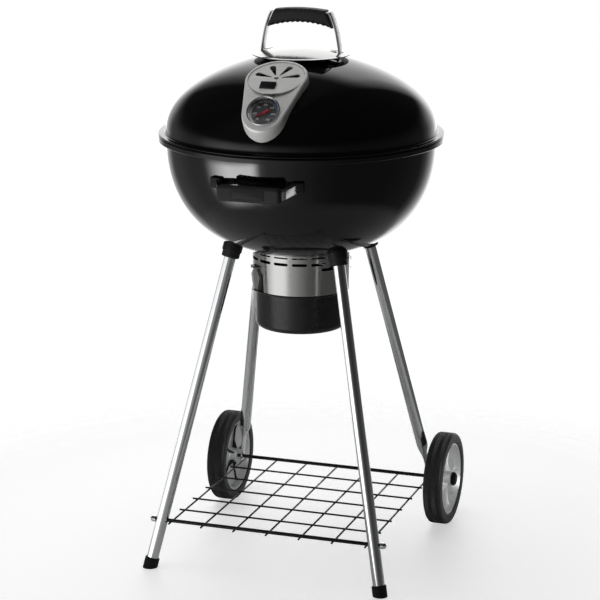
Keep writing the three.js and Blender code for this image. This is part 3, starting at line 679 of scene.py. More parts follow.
def damper():
    disc = turned([(0, -3.6), (DAMPER_RADIUS - 0.3, -3.6), (DAMPER_RADIUS, -3.3), (DAMPER_RADIUS, -2.0),
                   (DAMPER_RADIUS - 0.5, -1.6), (0, -1.6)], 128)
    pin = prism(circle(2.9, 20), -20, 20)
    return cut(disc, joined(*[damper_slot(degrees, -20, 20) for degrees in DAMPER_SLOTS], pin))


def damper_tab():
    """The thumb tab: a wedge with ribs across its sloping face."""
    width, depth, tall = 32, 18, 4
    profile = [(-depth / 2, -1.3), (depth / 2, -1.3), (depth / 2, tall)]
    ribs = 5
    for i in range(ribs * 4 + 1):
        share = i / (ribs * 4)
        rise = tall - 2.6 * share + 0.5 * math.cos(share * ribs * 2 * math.pi)
        profile.append((depth / 2 - 1 - (depth - 1.5) * share, min(rise, tall)))
    bm = prism(profile, -width / 2, width / 2, 0.0)
    turn = Matrix(((0, 0, 1, 0), (1, 0, 0, 0), (0, 1, 0, 0), (0, 0, 0, 1)))
    return rounded(moved(bm, turn), 0.4, 2, 60)


def damper_pin():
    reach = DAMPER_RADIUS - 6.25
    bar = block(2 * reach, 8, 1.6, (0, 0, -4.9), 0.3)
    head = turned([(0, 0), (2.4, -0.15), (3.9, -0.6), (4.5, -1.2), (2.5, -1.2), (2.5, -5), (0, -5)], 40)
    return joined(bar, head)


def make_lid():
    piece("lid_dome", lid_dome(), ENAMEL, "lid", "lid_shell", LID)
    piece("shield_disc", shield_disc(), SHIELD, "lid", "heat_shield", LID)
    piece("bail_strap", lid_bail(), STRAP, "lid", "lid_handle_bail", LID)
    piece("lid_grip", lid_grip(), GRIP, "lid", "lid_handle_grip", LID)
    for side, sign in SIDES.items():
        outline = [(58 * sign, 150), (80 * sign, 150), (80 * sign, 165.4), (58 * sign, 169.9)]
        pad = moved(prism(outline, -BAIL_WIDTH / 2, BAIL_WIDTH / 2, 0.8), UPRIGHT)
        pad = cut(pad, under_lid(GAP), bolt_hole(sign))
        piece(f"handle_pad_{side}", pad, PLASTIC, "lid", f"lid_handle_pad_{side}", LID)
        bolt = moved(lid_bolt(), shift(sign * BOLT_X, 0, 0))
        piece(f"handle_bolt_{side}", bolt, PLAIN_STEEL, "lid", f"lid_handle_bolt_{side}", LID)


def make_vent():
    BRIGHT_METAL.objects.link(
        piece("vent_housing", vent_housing(), CAST, "lid", "vent_bezel", LID))
    piece("damper_disc", damper(), CAST, "vent_damper", "vent_damper", VENT)
    piece("damper_tab", damper_tab(), PLASTIC, "vent_damper", "vent_damper_tab",
          VENT @ shift(-9, -31, 0))
    piece("damper_rivet", damper_pin(), PLAIN_STEEL, "lid", "vent_damper_pin", VENT)


# ---- thermometer ------------------------------------------------------------------------------------

DIAL_BORE = DIAL_RADIUS - 3
DIAL_FACE_TOP = -6
SCALE_START, SCALE_END = 235, -55     # degrees, anticlockwise from the dial's +X


def sector(inner, outer, start, end, bottom, top, steps=16):
    outline = arc((0, 0), outer, start, end, steps) + arc((0, 0), inner, end, start, steps)
    return prism(outline, bottom, top)


def numeral(text, radius, degrees, size):
    """A printed number on the dial, upright, centred on its place round the scale."""
    curve = bpy.data.curves.new("numeral", "FONT")
    curve.body = text
    curve.size = size
    curve.align_x = "CENTER"
    curve.align_y = "CENTER"
    curve.extrude = 0.05
    thing = bpy.data.objects.new("numeral", curve)
    bpy.context.scene.collection.objects.link(thing)
    bm = bmesh.new()
    bm.from_mesh(thing.evaluated_get(bpy.context.evaluated_depsgraph_get()).to_mesh())
    bpy.data.objects.remove(thing)
    bpy.data.curves.remove(curve)
    return moved(bm, Matrix.Translation(polar(radius, degrees, DIAL_FACE_TOP + 0.1)))


def dial_marks():
    """Tick marks and numbers round the scale."""
    marks = []
    count = 30
    for i in range(count + 1):
        angle = SCALE_START + (SCALE_END - SCALE_START) * i / count
        length = 3.4 if i % 5 == 0 else 1.8
        tick = prism([(26.5 - length, -0.35), (26.5, -0.35), (26.5, 0.35), (26.5 - length, 0.35)],
                     DIAL_FACE_TOP + 0.02, DIAL_FACE_TOP + 0.12)
        marks.append(moved(tick, turn_z(angle)))
    for i in range(7):
        angle = SCALE_START + (SCALE_END - SCALE_START) * i / 6
        marks.append(numeral(str(50 * (i + 1)), 18.4, angle, 5.4))
    return joined(*marks)


def make_thermometer():
    cup = turned([(0, -15), (DIAL_BORE, -15), (DIAL_BORE, -0.4), (DIAL_BORE - 0.4, 0), (DIAL_BORE - 1.2, 0),
                  (DIAL_BORE - 1.2, -13.8), (0, -13.8)], 64)
    hole = prism(circle(3.4, 20), -30, 0)
    piece("dial_case", cut(cup, hole), PLAIN_STEEL, "lid", "thermometer_case", DIAL)
    crown = [(DIAL_BORE - 0.2, GAP), (DIAL_RADIUS - 0.2, GAP), (DIAL_RADIUS, 1.0)]
    crown += arc((DIAL_RADIUS - 1.5, 2.4), 1.5, 0, 150, 8) + [(DIAL_BORE - 0.2, 1.9)]
    piece("dial_ring", turned(crown, 96), BRIGHT, "lid", "thermometer_ring", DIAL)
    lens_edge = DIAL_BORE - 0.5
    lens_section = [(0, 0.6), (lens_edge, 0.6), (lens_edge, 1.5), (lens_edge - 0.5, 1.7), (14, 1.8), (0, 1.8)]
    piece("dial_lens", turned(lens_section, 64), GLASS, "lid", "thermometer_lens", DIAL)
    face = turned([(0, -7), (DIAL_BORE - 1.6, -7), (DIAL_BORE - 1.5, -6.9), (DIAL_BORE - 1.5, DIAL_FACE_TOP),
                   (0, DIAL_FACE_TOP)], 64)
    shaft = prism(circle(1.6, 16), -9, 0)
    piece("dial_plate", cut(face, shaft), DIAL_BLACK, "lid", "thermometer_dial", DIAL)
    piece("dial_marks", dial_marks(), DIAL_WHITE, "lid", (), DIAL)
    bands = (("white", DIAL_WHITE, 236, 158), ("grey", DIAL_GREY, 156, 60), ("blue", DIAL_BLUE, 58, -28),
             ("red", RED, -74, -106))
    for name, look, start, end in bands:
        band = sector(26.9, 29.2, start, end, DIAL_FACE_TOP + 0.02, DIAL_FACE_TOP + 0.14)
        piece(f"dial_band_{name}", band, look, "lid", (), DIAL)
    stem = tapered([(0, 0, -75), (0, 0, -74), (0, 0, -72.5), (0, 0, -9)], 3, (0.4, 0.8, 1, 1), 20)
    piece("probe_stem", stem, PLAIN_STEEL, "lid", "thermometer_stem", DIAL)
    arrow = prism([(-2.4, -11), (2.4, -11), (1.5, 0), (0.2, 24), (-0.2, 24), (-1.5, 0)], -5.4, -4.6, 0.15, 2)
    boss = turned([(0, -8), (1.3, -8), (1.3, -5.4), (3, -5.4), (3, -4.2), (2.4, -3.8), (0, -3.8)], 24)
    piece("dial_needle", moved(joined(arrow, boss), turn_z(125)), RED, "needle",
          "thermometer_needle", DIAL)


# ---- bowl and its grates ----------------------------------------------------------------------------

SWEEP_ARMS = (0, 120, 240)


def bowl_body():
    """The bowl, its wall turned out and rolled down into the edge that carries the lid."""
    roll = 4.0
    edge = arc((FLANGE_RADIUS - roll, -roll), roll, 0, 90, 8)[::-1]
    outside = edge + [(FLANGE_RADIUS, -FLANGE_DROP + 0.6), (FLANGE_RADIUS - 0.6, -FLANGE_DROP),
                      (FLANGE_RADIUS - SHEET, -FLANGE_DROP)]
    under = [(FLANGE_RADIUS - SHEET, -roll - 0.6), (FLANGE_RADIUS - roll, -SHEET),
             (BOWL_RADIUS + 2.4, -SHEET), (BOWL_RADIUS + 0.6, -SHEET - 0.8), (BOWL_RADIUS, -SHEET - 2.6),
             (BOWL_RADIUS, -SHEET - 4), (BOWL_RADIUS, -BOWL_SHOULDER + 1)]
    wall = [(r, z) for r, z in reversed(BOWL_SECTION)]
    inner = offset(BOWL_SECTION, -SHEET)
    section = [(BOWL_RADIUS + 1.2, 0)] + outside + under + wall + inner + [(BOWL_RADIUS - SHEET, -2.6),
                                                                        (BOWL_RADIUS - 0.4, -0.7)]
    shell = turned(section, 192)
    outline = [(x + 54, y) for x, y in rounded_rectangle(56, 22, 5)]
    openings = [
        moved(prism(outline, -BOWL_DEPTH - 30, -BOWL_DEPTH + 30), turn_z(degrees))
        for degrees in SWEEP_ARMS
    ]
    shaft_hole = prism(circle(6.6, 32), -BOWL_DEPTH - 20, -BOWL_DEPTH + 20)
    return cut(shell, joined(*openings, shaft_hole))


def grate(radius, bars, bar_radius):
    """Parallel bars inside a round hoop, on two cross bars."""
    hoop_radius = radius - bar_radius
    hoop = tube([polar(hoop_radius, 360 * i / 96) for i in range(96)], bar_radius, 12, closed=True)
    pitch = 2 * hoop_radius / (bars + 1)
    parts = [hoop]
    for i in range(bars):
        x = (i - (bars - 1) / 2) * pitch
        reach = math.sqrt(hoop_radius ** 2 - x ** 2)
        parts.append(tube([(x, -reach, 0), (x, reach, 0)], bar_radius, 12))
    for y in (-0.45 * hoop_radius, 0.45 * hoop_radius):
        reach = math.sqrt(hoop_radius ** 2 - y ** 2)
        parts.append(tube([(-reach, y, -1.6 * bar_radius), (reach, y, -1.6 * bar_radius)], bar_radius, 12))
    return joined(*parts)


def make_bowl():
    BOWL_SHEET.objects.link(
        piece("bowl_body", bowl_body(), ENAMEL, "stand", "bowl_shell", KETTLE))
    for name, radius, bars, bar_radius, drop, look in (("cooking_grate", 274, 15, 2.5, 26, GRATE),
                                                       ("charcoal_grate", 212, 9, 3.5, 172, IRON)):
        piece(f"{name}_bars", grate(radius, bars, bar_radius), look, "stand", name,
              shift(0, 0, RIM - drop))
    for i, degrees in enumerate((45, 135, 225, 315)):
        tab = moved(block(24, 20, 9, (BOWL_RADIUS - 12, 0, -39.5), 1.0), turn_z(degrees))
        piece(f"grate_rest_{i + 1}", common(tab, inside_bowl(-SHEET - GAP)), BLACK_STEEL, "stand",
              f"grate_bracket_{i + 1}", KETTLE)


GRIP_DROP = 71
GRIP_LENGTH, GRIP_HEIGHT = 134, 32
STRAP_HEIGHT = 18
STRAP_FRONT = -307.5
STRAP_CLIMB = 0.26                   # rise for each millimetre towards the bowl
STRAP_PATH = mirrored([(65, STRAP_FRONT), (71, STRAP_FRONT + 3.5), (87, STRAP_FRONT + 36.5)])
MOUNT_TURN = math.radians(17.8)
MOUNT_RADIUS = 281
MOUNT_DROP = GRIP_DROP + STRAP_CLIMB * (MOUNT_RADIUS * math.cos(MOUNT_TURN) + STRAP_FRONT)


def bowl_grip():
    """The bowl's grip: a crowned bar with a recessed blank plate on its face."""
    front, back = low("bowl_handle_grip").y, high("bowl_handle_grip").y
    rings = []
    for y, inset in ((back, 1.6), (back - 0.8, 0.5), (back - 2, 0), (front + 5, 0), (front + 3.2, 0.5),
                     (front + 1.6, 1.7), (front + 0.6, 3.2), (front + 0.15, 4.6), (front, 6.0)):
        outline = rounded_rectangle(GRIP_LENGTH - 2 * inset, GRIP_HEIGHT - 2 * inset, 8 - 0.6 * inset, 8)
        rings.append([(x, y, z) for x, z in outline])
    body = loft(rings)
    plate = moved(prism(rounded_rectangle(70, 20, 3), -1.2, 1.2), shift(0, front, 0) @ UPRIGHT)
    return cut(body, plate)


def climbing(bm):
    """The strap climbs towards the bowl, so its feet sit higher than the grip."""
    shear = Matrix.Identity(4)
    shear[2][1] = STRAP_CLIMB
    shear[2][3] = -STRAP_CLIMB * STRAP_FRONT
    return moved(bm, shear)


def bowl_handle():
    strap_place = shift(0, 0, RIM - GRIP_DROP)
    path = fillet(STRAP_PATH, 6)
    strap = climbing(prism(ribbon(path, 3), -STRAP_HEIGHT / 2, STRAP_HEIGHT / 2, 0.5, 2))
    HANDLE_STRAP.objects.link(
        piece("bowl_strap", strap, STRAP, "stand", "bowl_handle_strap", strap_place))
    piece("bowl_grip", bowl_grip(), GRIP, "stand", "bowl_handle_grip", strap_place)
    front = low("bowl_handle_grip").y
    plaque = moved(prism(rounded_rectangle(69, 19, 2.8), -0.7, 0.6, 0.35, 2),
                   shift(0, front + 0.7, 0) @ UPRIGHT)
    piece("bowl_grip_plate", plaque, GRIP, "stand", (), strap_place)
    reach = STRAP_HEIGHT / 2 + 0.4
    for side, sign in SIDES.items():
        mount = moved(block(26, 18, 23, (0, -MOUNT_RADIUS, -MOUNT_DROP), 3.0),
                      Matrix.Rotation(sign * MOUNT_TURN, 4, "Z"))
        socket = climbing(prism(ribbon(path, 3.8), -reach, reach))
        moved(socket, shift(0, 0, -GRIP_DROP))
        piece(f"bowl_mount_{side}", cut(mount, inside_bowl(GAP), socket), PLASTIC, "stand",
              f"bowl_handle_mount_{side}", KETTLE)


# ---- ash catcher ------------------------------------------------------------------------------------

def latch_place(degrees):
    turn = turn_z(degrees)
    return Matrix.Translation(polar(LATCH_PIVOT_RADIUS, degrees, LATCH_PIVOT_HEIGHT)) @ turn


def standing(outline, inner, outer, edge=0.0):
    return moved(prism(outline, inner, outer, edge, 2), STANDING)


def skirt():
    """The skirt between bowl and pot: a thin steel cylinder with two rows of vents and two latch notches."""
    wall = turned([(SKIRT_RADIUS - 1, SKIRT_BOTTOM + 0.3), (SKIRT_RADIUS - 0.7, SKIRT_BOTTOM),
                   (SKIRT_RADIUS - 0.3, SKIRT_BOTTOM), (SKIRT_RADIUS, SKIRT_BOTTOM + 0.3),
                   (SKIRT_RADIUS, 620), (SKIRT_RADIUS, 645), (SKIRT_RADIUS, 675), (SKIRT_RADIUS - 1, 675)],
                  192)
    tools = [moved(inside_bowl(GAP), KETTLE)]
    inner, outer = SKIRT_RADIUS - 12, SKIRT_RADIUS + 12
    for i in range(SKIRT_SLOTS):
        turn = turn_z(SLOT_PHASE + 360 / SKIRT_SLOTS * i)
        for height, tall in SLOT_ROWS:
            outline = rounded_rectangle(SLOT_LENGTH, tall, tall / 2 - 0.01)
            slot = standing(outline, inner, outer)
            tools.append(moved(slot, shift(0, 0, height) @ turn))
    sweep = arc((0, 0), outer, LEVER_ANGLE - 19, LEVER_ANGLE + 19, 12) + arc((0, 0), inner, LEVER_ANGLE + 19,
                                                                          LEVER_ANGLE - 19, 12)
    tools.append(prism(sweep, LEVER_HEIGHT - 3, LEVER_HEIGHT + 3))
    notch = [(-13, 0), (-24, -17), (-28, -60), (28, -60), (24, -17), (13, 0)]
    for degrees in LATCH_ANGLES.values():
        tools.append(moved(standing(notch, -20, -1), latch_place(degrees)))
    shell = cut(wall, tools[0], joined(*tools[1:]))
    ears = []
    for degrees in LATCH_ANGLES.values():
        for y in (-12, 12):
            ear = cut(block(9.3, 2, 7, (-1.6, y, 0), 0.4), moved(prism(circle(1.9, 16), -5, 5),
                      shift(0, y, 0) @ UPRIGHT))
            ears.append(moved(ear, latch_place(degrees)))
    return joined(shell, *ears)


def pot():
    """The ash pot: a deep pan with a rounded foot and a rolled bead that the skirt sits on."""
    corner = 12
    bead = SKIRT_BOTTOM - 0.6
    foot = arc((POT_RADIUS - corner, POT_BOTTOM + corner), corner, -90, 0, 10)
    roll = arc((POT_RADIUS + 2.8, bead - 2.2), 2.2, -90, 90, 10)
    section = [(0, POT_BOTTOM)] + foot + [(POT_RADIUS, bead - 5.6), (POT_RADIUS + 0.8, bead - 4.6)] + roll
    section += [(POT_RADIUS + 0.4, bead - 0.2), (POT_RADIUS, bead + 0.6), (POT_RADIUS, POT_TOP - 0.5),
                (POT_RADIUS - 0.6, POT_TOP), (POT_RADIUS - SHEET, POT_TOP - 0.4)]
    inner = arc((POT_RADIUS - corner, POT_BOTTOM + corner), corner - SHEET, 0, -90, 10)
    return turned(section + inner + [(0, POT_BOTTOM + SHEET)], 160)


def latch_blade():
    """A waisted sheet-steel latch, knuckled round its pin and curled outwards at its foot."""
    blade = standing([(-8, -2.6), (-20, -17), (-11, -47), (11, -47), (20, -17), (8, -2.6)], -2.6, -1.1, 0.3)
    knuckle = tapered([(0, -8, 0), (0, -7.4, 0), (0, 7.4, 0), (0, 8, 0)], 3.6, (0.9, 1, 1, 0.9), 24)
    bore = tube([(0, -20, 0), (0, 20, 0)], 1.9, 16)
    curl_section = ribbon([(-1.85, -44)] + arc((0.75, -47.4), 2.6, 170, 330, 8), 1.4)
    curl = moved(prism(curl_section, -10.5, 10.5, 0.25, 2), Matrix(((1, 0, 0, 0), (0, 0, 1, 0), (0, 1, 0, 0),
                                                                  (0, 0, 0, 1))))
    return joined(blade, cut(knuckle, bore), curl)


def make_ash_catcher():
    piece("ash_skirt_wall", skirt(), STEEL, "stand", "ash_skirt")
    piece("ash_pot_pan", pot(), BLACK_STEEL, "ash_pot", "ash_pot")
    for side, degrees in LATCH_ANGLES.items():
        place = latch_place(degrees)
        node = f"latch_{side}"
        piece(f"latch_blade_{side}", latch_blade(), STEEL, node, node, place)
        pin = dome_ended((0, -14.5, 0), (0, 14.5, 0), 1.5, 16, 0.5)
        piece(f"latch_rod_{side}", pin, PLAIN_STEEL, "stand", f"latch_pin_{side}", place)


def make_sweep():
    """Three blades that hug the bowl's floor, their shaft, and the lever that swings them."""
    blades = [
        moved(block(74, 24, 40, (49, 0, -BOWL_DEPTH + 10), 0), turn_z(degrees + 18))
        for degrees in SWEEP_ARMS
    ]
    skin = cut(inside_bowl(-SHEET - 0.5), inside_bowl(-SHEET - 2.1))
    hub = common(prism(circle(16, 40), -BOWL_DEPTH - 5, -BOWL_DEPTH + 8), inside_bowl(-SHEET - 0.5))
    piece("sweep_blades", joined(common(skin, joined(*blades)), hub), PLAIN_STEEL, "ash_sweep", "ash_sweep",
          KETTLE)
    shaft = dome_ended((0, 0, LEVER_HEIGHT - 5), (0, 0, RIM - BOWL_DEPTH + 1.2), 6, 32)
    piece("sweep_axis", shaft, PLAIN_STEEL, "ash_sweep", "sweep_shaft")
    place = shift(0, 0, LEVER_HEIGHT) @ turn_z(LEVER_ANGLE)
    collar = turned([(6.3, -3), (10.6, -3), (11, -2.6), (11, 2.6), (10.6, 3), (6.3, 3)], 40)
    arm = block(102, 6, 2, (61, 0, 0), 0.4)
    piece("sweep_arm", joined(collar, arm), PLAIN_STEEL, "ash_sweep", "sweep_lever", place)
    knob_rings = []
    for x, size in ((112, 0.7), (112.6, 0.86), (114, 0.97), (120, 1.0),
                    (125, 0.96), (127.3, 0.84), (128, 0.66)):
        outline = rounded_rectangle(10 * size, 11 * size, 3.5 * size, 5)
        knob_rings.append([(x, y, z) for y, z in outline])
    knob = cut(loft(knob_rings), block(20, 6.8, 2.8, (104, 0, 0), 0))
    piece("sweep_knob", knob, PLASTIC, "ash_sweep", "lever_knob", place)


# ---- legs -------------------------------------------------------------------------------------------

def leg_line(sign, ends):
    (x, y), (foot_x, foot_y, foot_z) = ends
    return Vector((sign * x, y, LEG_JOIN)), Vector((sign * foot_x, foot_y, foot_z))


def on_leg(line, height):
    top, foot = line
    return blend(top, foot, (top.z - height) / (top.z - foot.z))


def clear_of_bowl(distance):
    return moved(inside_bowl(distance), KETTLE)


def front_leg(line):
    tube_wall = tube([on_leg(line, height) for height in (6, 200, 450, 690)], LEG_RADIUS, 48)
    bore = tube([on_leg(line, 0), on_leg(line, 710)], 11.3, 32)
    hole = tube([(-300, RACK_FRONT, bar_height()), (300, RACK_FRONT, bar_height())], BAR_RADIUS + GAP, 24)
    return cut(tube_wall, bore, clear_of_bowl(GAP + 0.3), hole)


def rear_leg(line):
    """A tube pinched flat where the axle goes through it."""
    flat_top, flat_end = 186, 86
    heights = [690, 560, 400, 260, flat_top] + [flat_top - 5 * i for i in range(1, 8)]
    heights += [135, 110, 96, 90, flat_end]
    pinch = {"wide": 12.1 / LEG_RADIUS, "thin": 3.0 / LEG_RADIUS}
    points, scales = [], []
    for height in heights:
        points.append(on_leg(line, height))
        share = smooth((flat_top - height) / 36)
        round_end = 1.0 if height > 96 else math.sqrt(max(1 - ((96 - height) / 11) ** 2, 0.05))
        scales.append((blend(1, pinch["thin"], share), blend(1, pinch["wide"], share) * round_end))
    along = (points[-1] - points[0]).normalized()
    across = Vector((1, 0, 0))
    across = (across - along * across.dot(along)).normalized()
    up = along.cross(across)
    rings = []
    for point, (thin, wide) in zip(points, scales):
        ring = []
        for k in range(48):
            a = 2 * math.pi * k / 48
            power = 1 if thin > 0.95 else 0.8
            c, s = math.cos(a), math.sin(a)
            flattened = math.copysign(abs(c) ** power, c)
            ring.append(point + LEG_RADIUS * (thin * flattened * across + wide * s * up))
        rings.append(ring)
    hole = tube([(-300, AXLE_Y, AXLE_Z), (300, AXLE_Y, AXLE_Z)], BAR_RADIUS + GAP, 24)
    return cut(loft(rings), clear_of_bowl(GAP + 0.3), hole)


def leg_boot(line):
    """The black socket on the bowl that a leg is pushed into."""
    profile = ((660, 17.2), (660.6, 18.4), (662, 19), (671, 19),
               (672, 19.6), (673.4, 20.8), (675, 21), (705, 21))
    top, foot = line
    rings = []
    along = (top - foot).normalized()
    across = along.orthogonal().normalized()
    up = along.cross(across)
    for height, radius in profile:
        centre = on_leg(line, height)
        rings.append([
            centre + radius * (math.cos(a) * across + math.sin(a) * up)
            for a in (2 * math.pi * k / 48 for k in range(48))
        ])
    bore = tube([on_leg(line, 640), on_leg(line, 720)], LEG_RADIUS + GAP, 32)
    return cut(loft(rings), bore, clear_of_bowl(GAP))


def foot_cap(line):
    path = [on_leg(line, height) for height in (-20, 3, 12, 19, 20.4, 21)]
    body = tapered(path, 15.5, (1, 1, 1, 1, 0.97, 0.91), 40)
    bore = tube([on_leg(line, 5), on_leg(line, 60)], LEG_RADIUS + GAP, 32)
    foot = line[1]
    return cut(body, bore, block(200, 200, 40, (foot.x, foot.y, -20), 0))


def make_legs():
    for side, sign in SIDES.items():
        front, rear = leg_line(sign, FRONT_LEG), leg_line(sign, REAR_LEG)
        tubes = (
            piece(f"front_leg_{side}", front_leg(front), CHROME, "stand", f"leg_front_{side}"),
            piece(f"rear_leg_{side}", rear_leg(rear), CHROME, "stand", f"leg_rear_{side}"),
        )
        for tube_piece in tubes:
            BRIGHT_METAL.objects.link(tube_piece)
        for end, line in (("front", front), ("rear", rear)):
            piece(f"{end}_boot_{side}", leg_boot(line), PLASTIC, "stand", f"leg_boot_{end}_{side}")
        piece(f"rubber_foot_{side}", foot_cap(front), RUBBER, "stand", f"foot_cap_{side}")


# ---- rack, axle and wheels --------------------------------------------------------------------------

def bar_height():
    return RACK_HEIGHT + BAR_RADIUS + WIRE_RADIUS - 0.5


def rack():
    pitch, wires, cross_wires = 72.9, 7, 5
    half = (wires - 1) / 2 * pitch
    depth = AXLE_Y - RACK_FRONT
    bar = dome_ended((-257, RACK_FRONT, bar_height()), (257, RACK_FRONT, bar_height()), BAR_RADIUS, 20)
    parts = [bar]
    for i in range(wires):
        x = -half + i * pitch
        front, back = (x, RACK_FRONT - 8, RACK_HEIGHT), (x, AXLE_Y + 11, RACK_HEIGHT)
        parts.append(dome_ended(front, back, WIRE_RADIUS, 14))
    height = RACK_HEIGHT + 1.8 * WIRE_RADIUS
    for i in range(cross_wires):
        y = RACK_FRONT + depth * (i + 1) / (cross_wires + 1)
        parts.append(dome_ended((-half - 9, y, height), (half + 9, y, height), WIRE_RADIUS, 14))
    return joined(*parts)


def acorn_nut():
    crown = arc((0, 6), 6.5, 0, 90, 10)
    body = turned([(6.5, 0.4), (6.1, 0), (4.3, 0), (4.3, 7.5), (0, 7.5)][::-1] + [(6.5, 0.4)] + crown, 48)
    return body


def make_rack():
    piece("rack_wires", rack(), BLACK_STEEL, "stand", "wire_rack")
    reach = high("axle").x
    axle = dome_ended((-reach, AXLE_Y, AXLE_Z), (reach, AXLE_Y, AXLE_Z), BAR_RADIUS, 32)
    piece("axle_rod", axle, BLACK_STEEL, "stand", "axle")
    for side, sign in SIDES.items():
        turn = Matrix.Rotation(sign * math.pi / 2, 4, "Y")
        nut = moved(acorn_nut(), shift(sign * 250.5, RACK_FRONT, bar_height()) @ turn)
        piece(f"acorn_nut_{side}", nut, BRIGHT, "stand", f"rack_nut_{side}")
        cap = turned([(0, 9.5), (7, 9.3), (11, 8.6), (13.6, 6.9), (14.8, 5), (15, 3.4), (15, 0.4), (14.6, 0),
                      (4.3, 0), (4.3, 5.5), (0, 5.5)], 64)
        piece(f"hub_cap_{side}", moved(cap, shift(sign * 276, AXLE_Y, AXLE_Z) @ turn), PLASTIC,
              "stand", f"axle_cap_{side}")


def tyre():
    """A solid tyre with a flat herringbone tread in four bands, and plain rounded shoulders."""
    half = TYRE_WIDTH / 2
    around, across = 960, 36
    lugs = 96
    groove = 1.3
    side = [(WHEEL_RADIUS + GAP, half - 1.5), (WHEEL_RADIUS + 1.5, half - 0.3), (WHEEL_RADIUS + 3.5, half),
            (TYRE_RADIUS - 9, half)]
    shoulder = arc((TYRE_RADIUS - 6.4, half - 6), 6, 90, 20, 7)
    tread = [(TYRE_RADIUS - 0.8 + 0.8 * math.sqrt(max(1 - (w / half) ** 2, 0)), w)
             for w in (half * 0.74 * (1 - 2 * i / across) for i in range(across + 1))]
    section = side + shoulder + tread + [(r, -w) for r, w in reversed(side + shoulder)]
    rows = []
    bands = 4
    for i in range(around):
        angle = 2 * math.pi * i / around
        row = []
        for radius, w in section:
            depth = 0.0
            if abs(w) < half * 0.86 and radius > TYRE_RADIUS - 3:
                share = (w / (half * 0.8) + 1) / 2 * bands
                zigzag = abs(share % 2 - 1)
                wave = math.cos(2 * math.pi * (i * lugs / around + 1.7 * zigzag))
                depth = groove * smooth((0.15 - wave) * 2.2) * smooth((half * 0.86 - abs(w)) / 2.0)
            r = radius - depth
            row.append((r * math.cos(angle), r * math.sin(angle), w))
        rows.append(row)
    bm = bmesh.new()
    grid = [[bm.verts.new(point) for point in row] for row in rows]
    count = len(section)
    for first, second in zip(grid, grid[1:] + grid[:1]):
        for k in range(count):
            n = (k + 1) % count
            bm.faces.new((first[k], second[k], second[n], first[n]))
    bmesh.ops.recalc_face_normals(bm, faces=bm.faces)
    return bm


def wheel_rim():
    """A dished wheel: rim, web and hub, turned as one piece."""
    hub = 16
    lower = [
        (4.25, -19), (hub - 1, -19), (hub, -18), (hub, -5), (hub + 2, -3), (68, -3), (71.5, -4.2),
        (75, -15.5), (76, -17.6), (77, -18), (WHEEL_RADIUS - 0.6, -18), (WHEEL_RADIUS, -17.4),
    ]
    return turned(lower + [(r, -w) for r, w in reversed(lower)], 128)


def wheel_ribs(outward, count=5):
    """Tapered ribs from the hub to the rim, on the side of the web that outward says."""
    ribs = []
    for i in range(count):
        profile = [(15, 2.5), (73, 2.5), (73.5, 10), (60, 6.4), (34, 6.4), (15, 15)]
        rib = moved(prism(profile, -1.6, 1.6, 0.5, 2), UPRIGHT)
        flip = Matrix.Scale(outward, 4, (0, 0, 1))
        turned_rib = moved(rib, turn_z(360 / count * i + 90) @ flip)
        bmesh.ops.recalc_face_normals(turned_rib, faces=turned_rib.faces)
        ribs.append(turned_rib)
    return ribs


def make_wheels():
    for side, sign in SIDES.items():
        place = shift(sign * WHEEL_X, AXLE_Y, AXLE_Z) @ ALONG_X
        node = f"wheel_{side}"
        trim = turned(arc((76.6, 0), 0.9, 0, 337.5, 15), 128)
        things = [
            piece(f"tyre_tread_{side}", tyre(), TYRE, node, f"tyre_{side}", place, sharp=28),
            piece(f"wheel_rim_{side}", wheel_rim(), WHEEL, node, node, place),
        ]
        for name, shape, look in (("outer_ribs", joined(*wheel_ribs(sign)), RIB),
                                  ("inner_ribs", joined(*wheel_ribs(-sign)), PLASTIC),
                                  ("trim", moved(trim, shift(0, 0, sign * 18.0)), BRIGHT)):
            things.append(piece(f"wheel_{name}_{side}", shape, look, node, (), place))
        for thing in things:
            WHEEL_PARTS.objects.link(thing)


# ---- studio -----------------------------------------------------------------------------------------

# Brightness of the surroundings by direction: (degrees from the front towards +X, level).
SIDE_LEVELS = ((-180, 0), (-120, 0), (-108, 0.2), (-88, 0.2), (-76, 0.3), (-64, 0.9), (-48, 1.55),
               (-20, 1.5), (-10, 0.6), (14, 0.28), (34, 0.10), (56, 0.04), (134, 0.04), (180, 0))
LOW_BACK_LEVELS = ((-180, 1), (-150, 0.95), (-141, 0.5), (-133, 0.38), (-124, 0.13), (-108, 0.02),
                   (142, 0.02), (152, 0.12), (160, 0.36), (168, 0.6), (176, 0.95), (180, 1))
HIGH_BACK_LEVELS = ((-180, 0.75), (-172, 1), (-152, 1), (-142, 0.2), (-136, 0), (170, 0), (178, 0.5),
                    (180, 0.75))
ROOM_LEVEL = 0.03
FLOOR_GLOW = 0.06                    # what the floor sends to the pieces
FLOOR_GLOW_SEEN = 0.56               # what it adds in the picture

# The pieces that each linked light shines on.
BRIGHT_METAL = bpy.data.collections.new("bright_metal")
BOWL_SHEET = bpy.data.collections.new("bowl_sheet")
HANDLE_STRAP = bpy.data.collections.new("handle_strap")
WHEEL_PARTS = bpy.data.collections.new("wheel_parts")


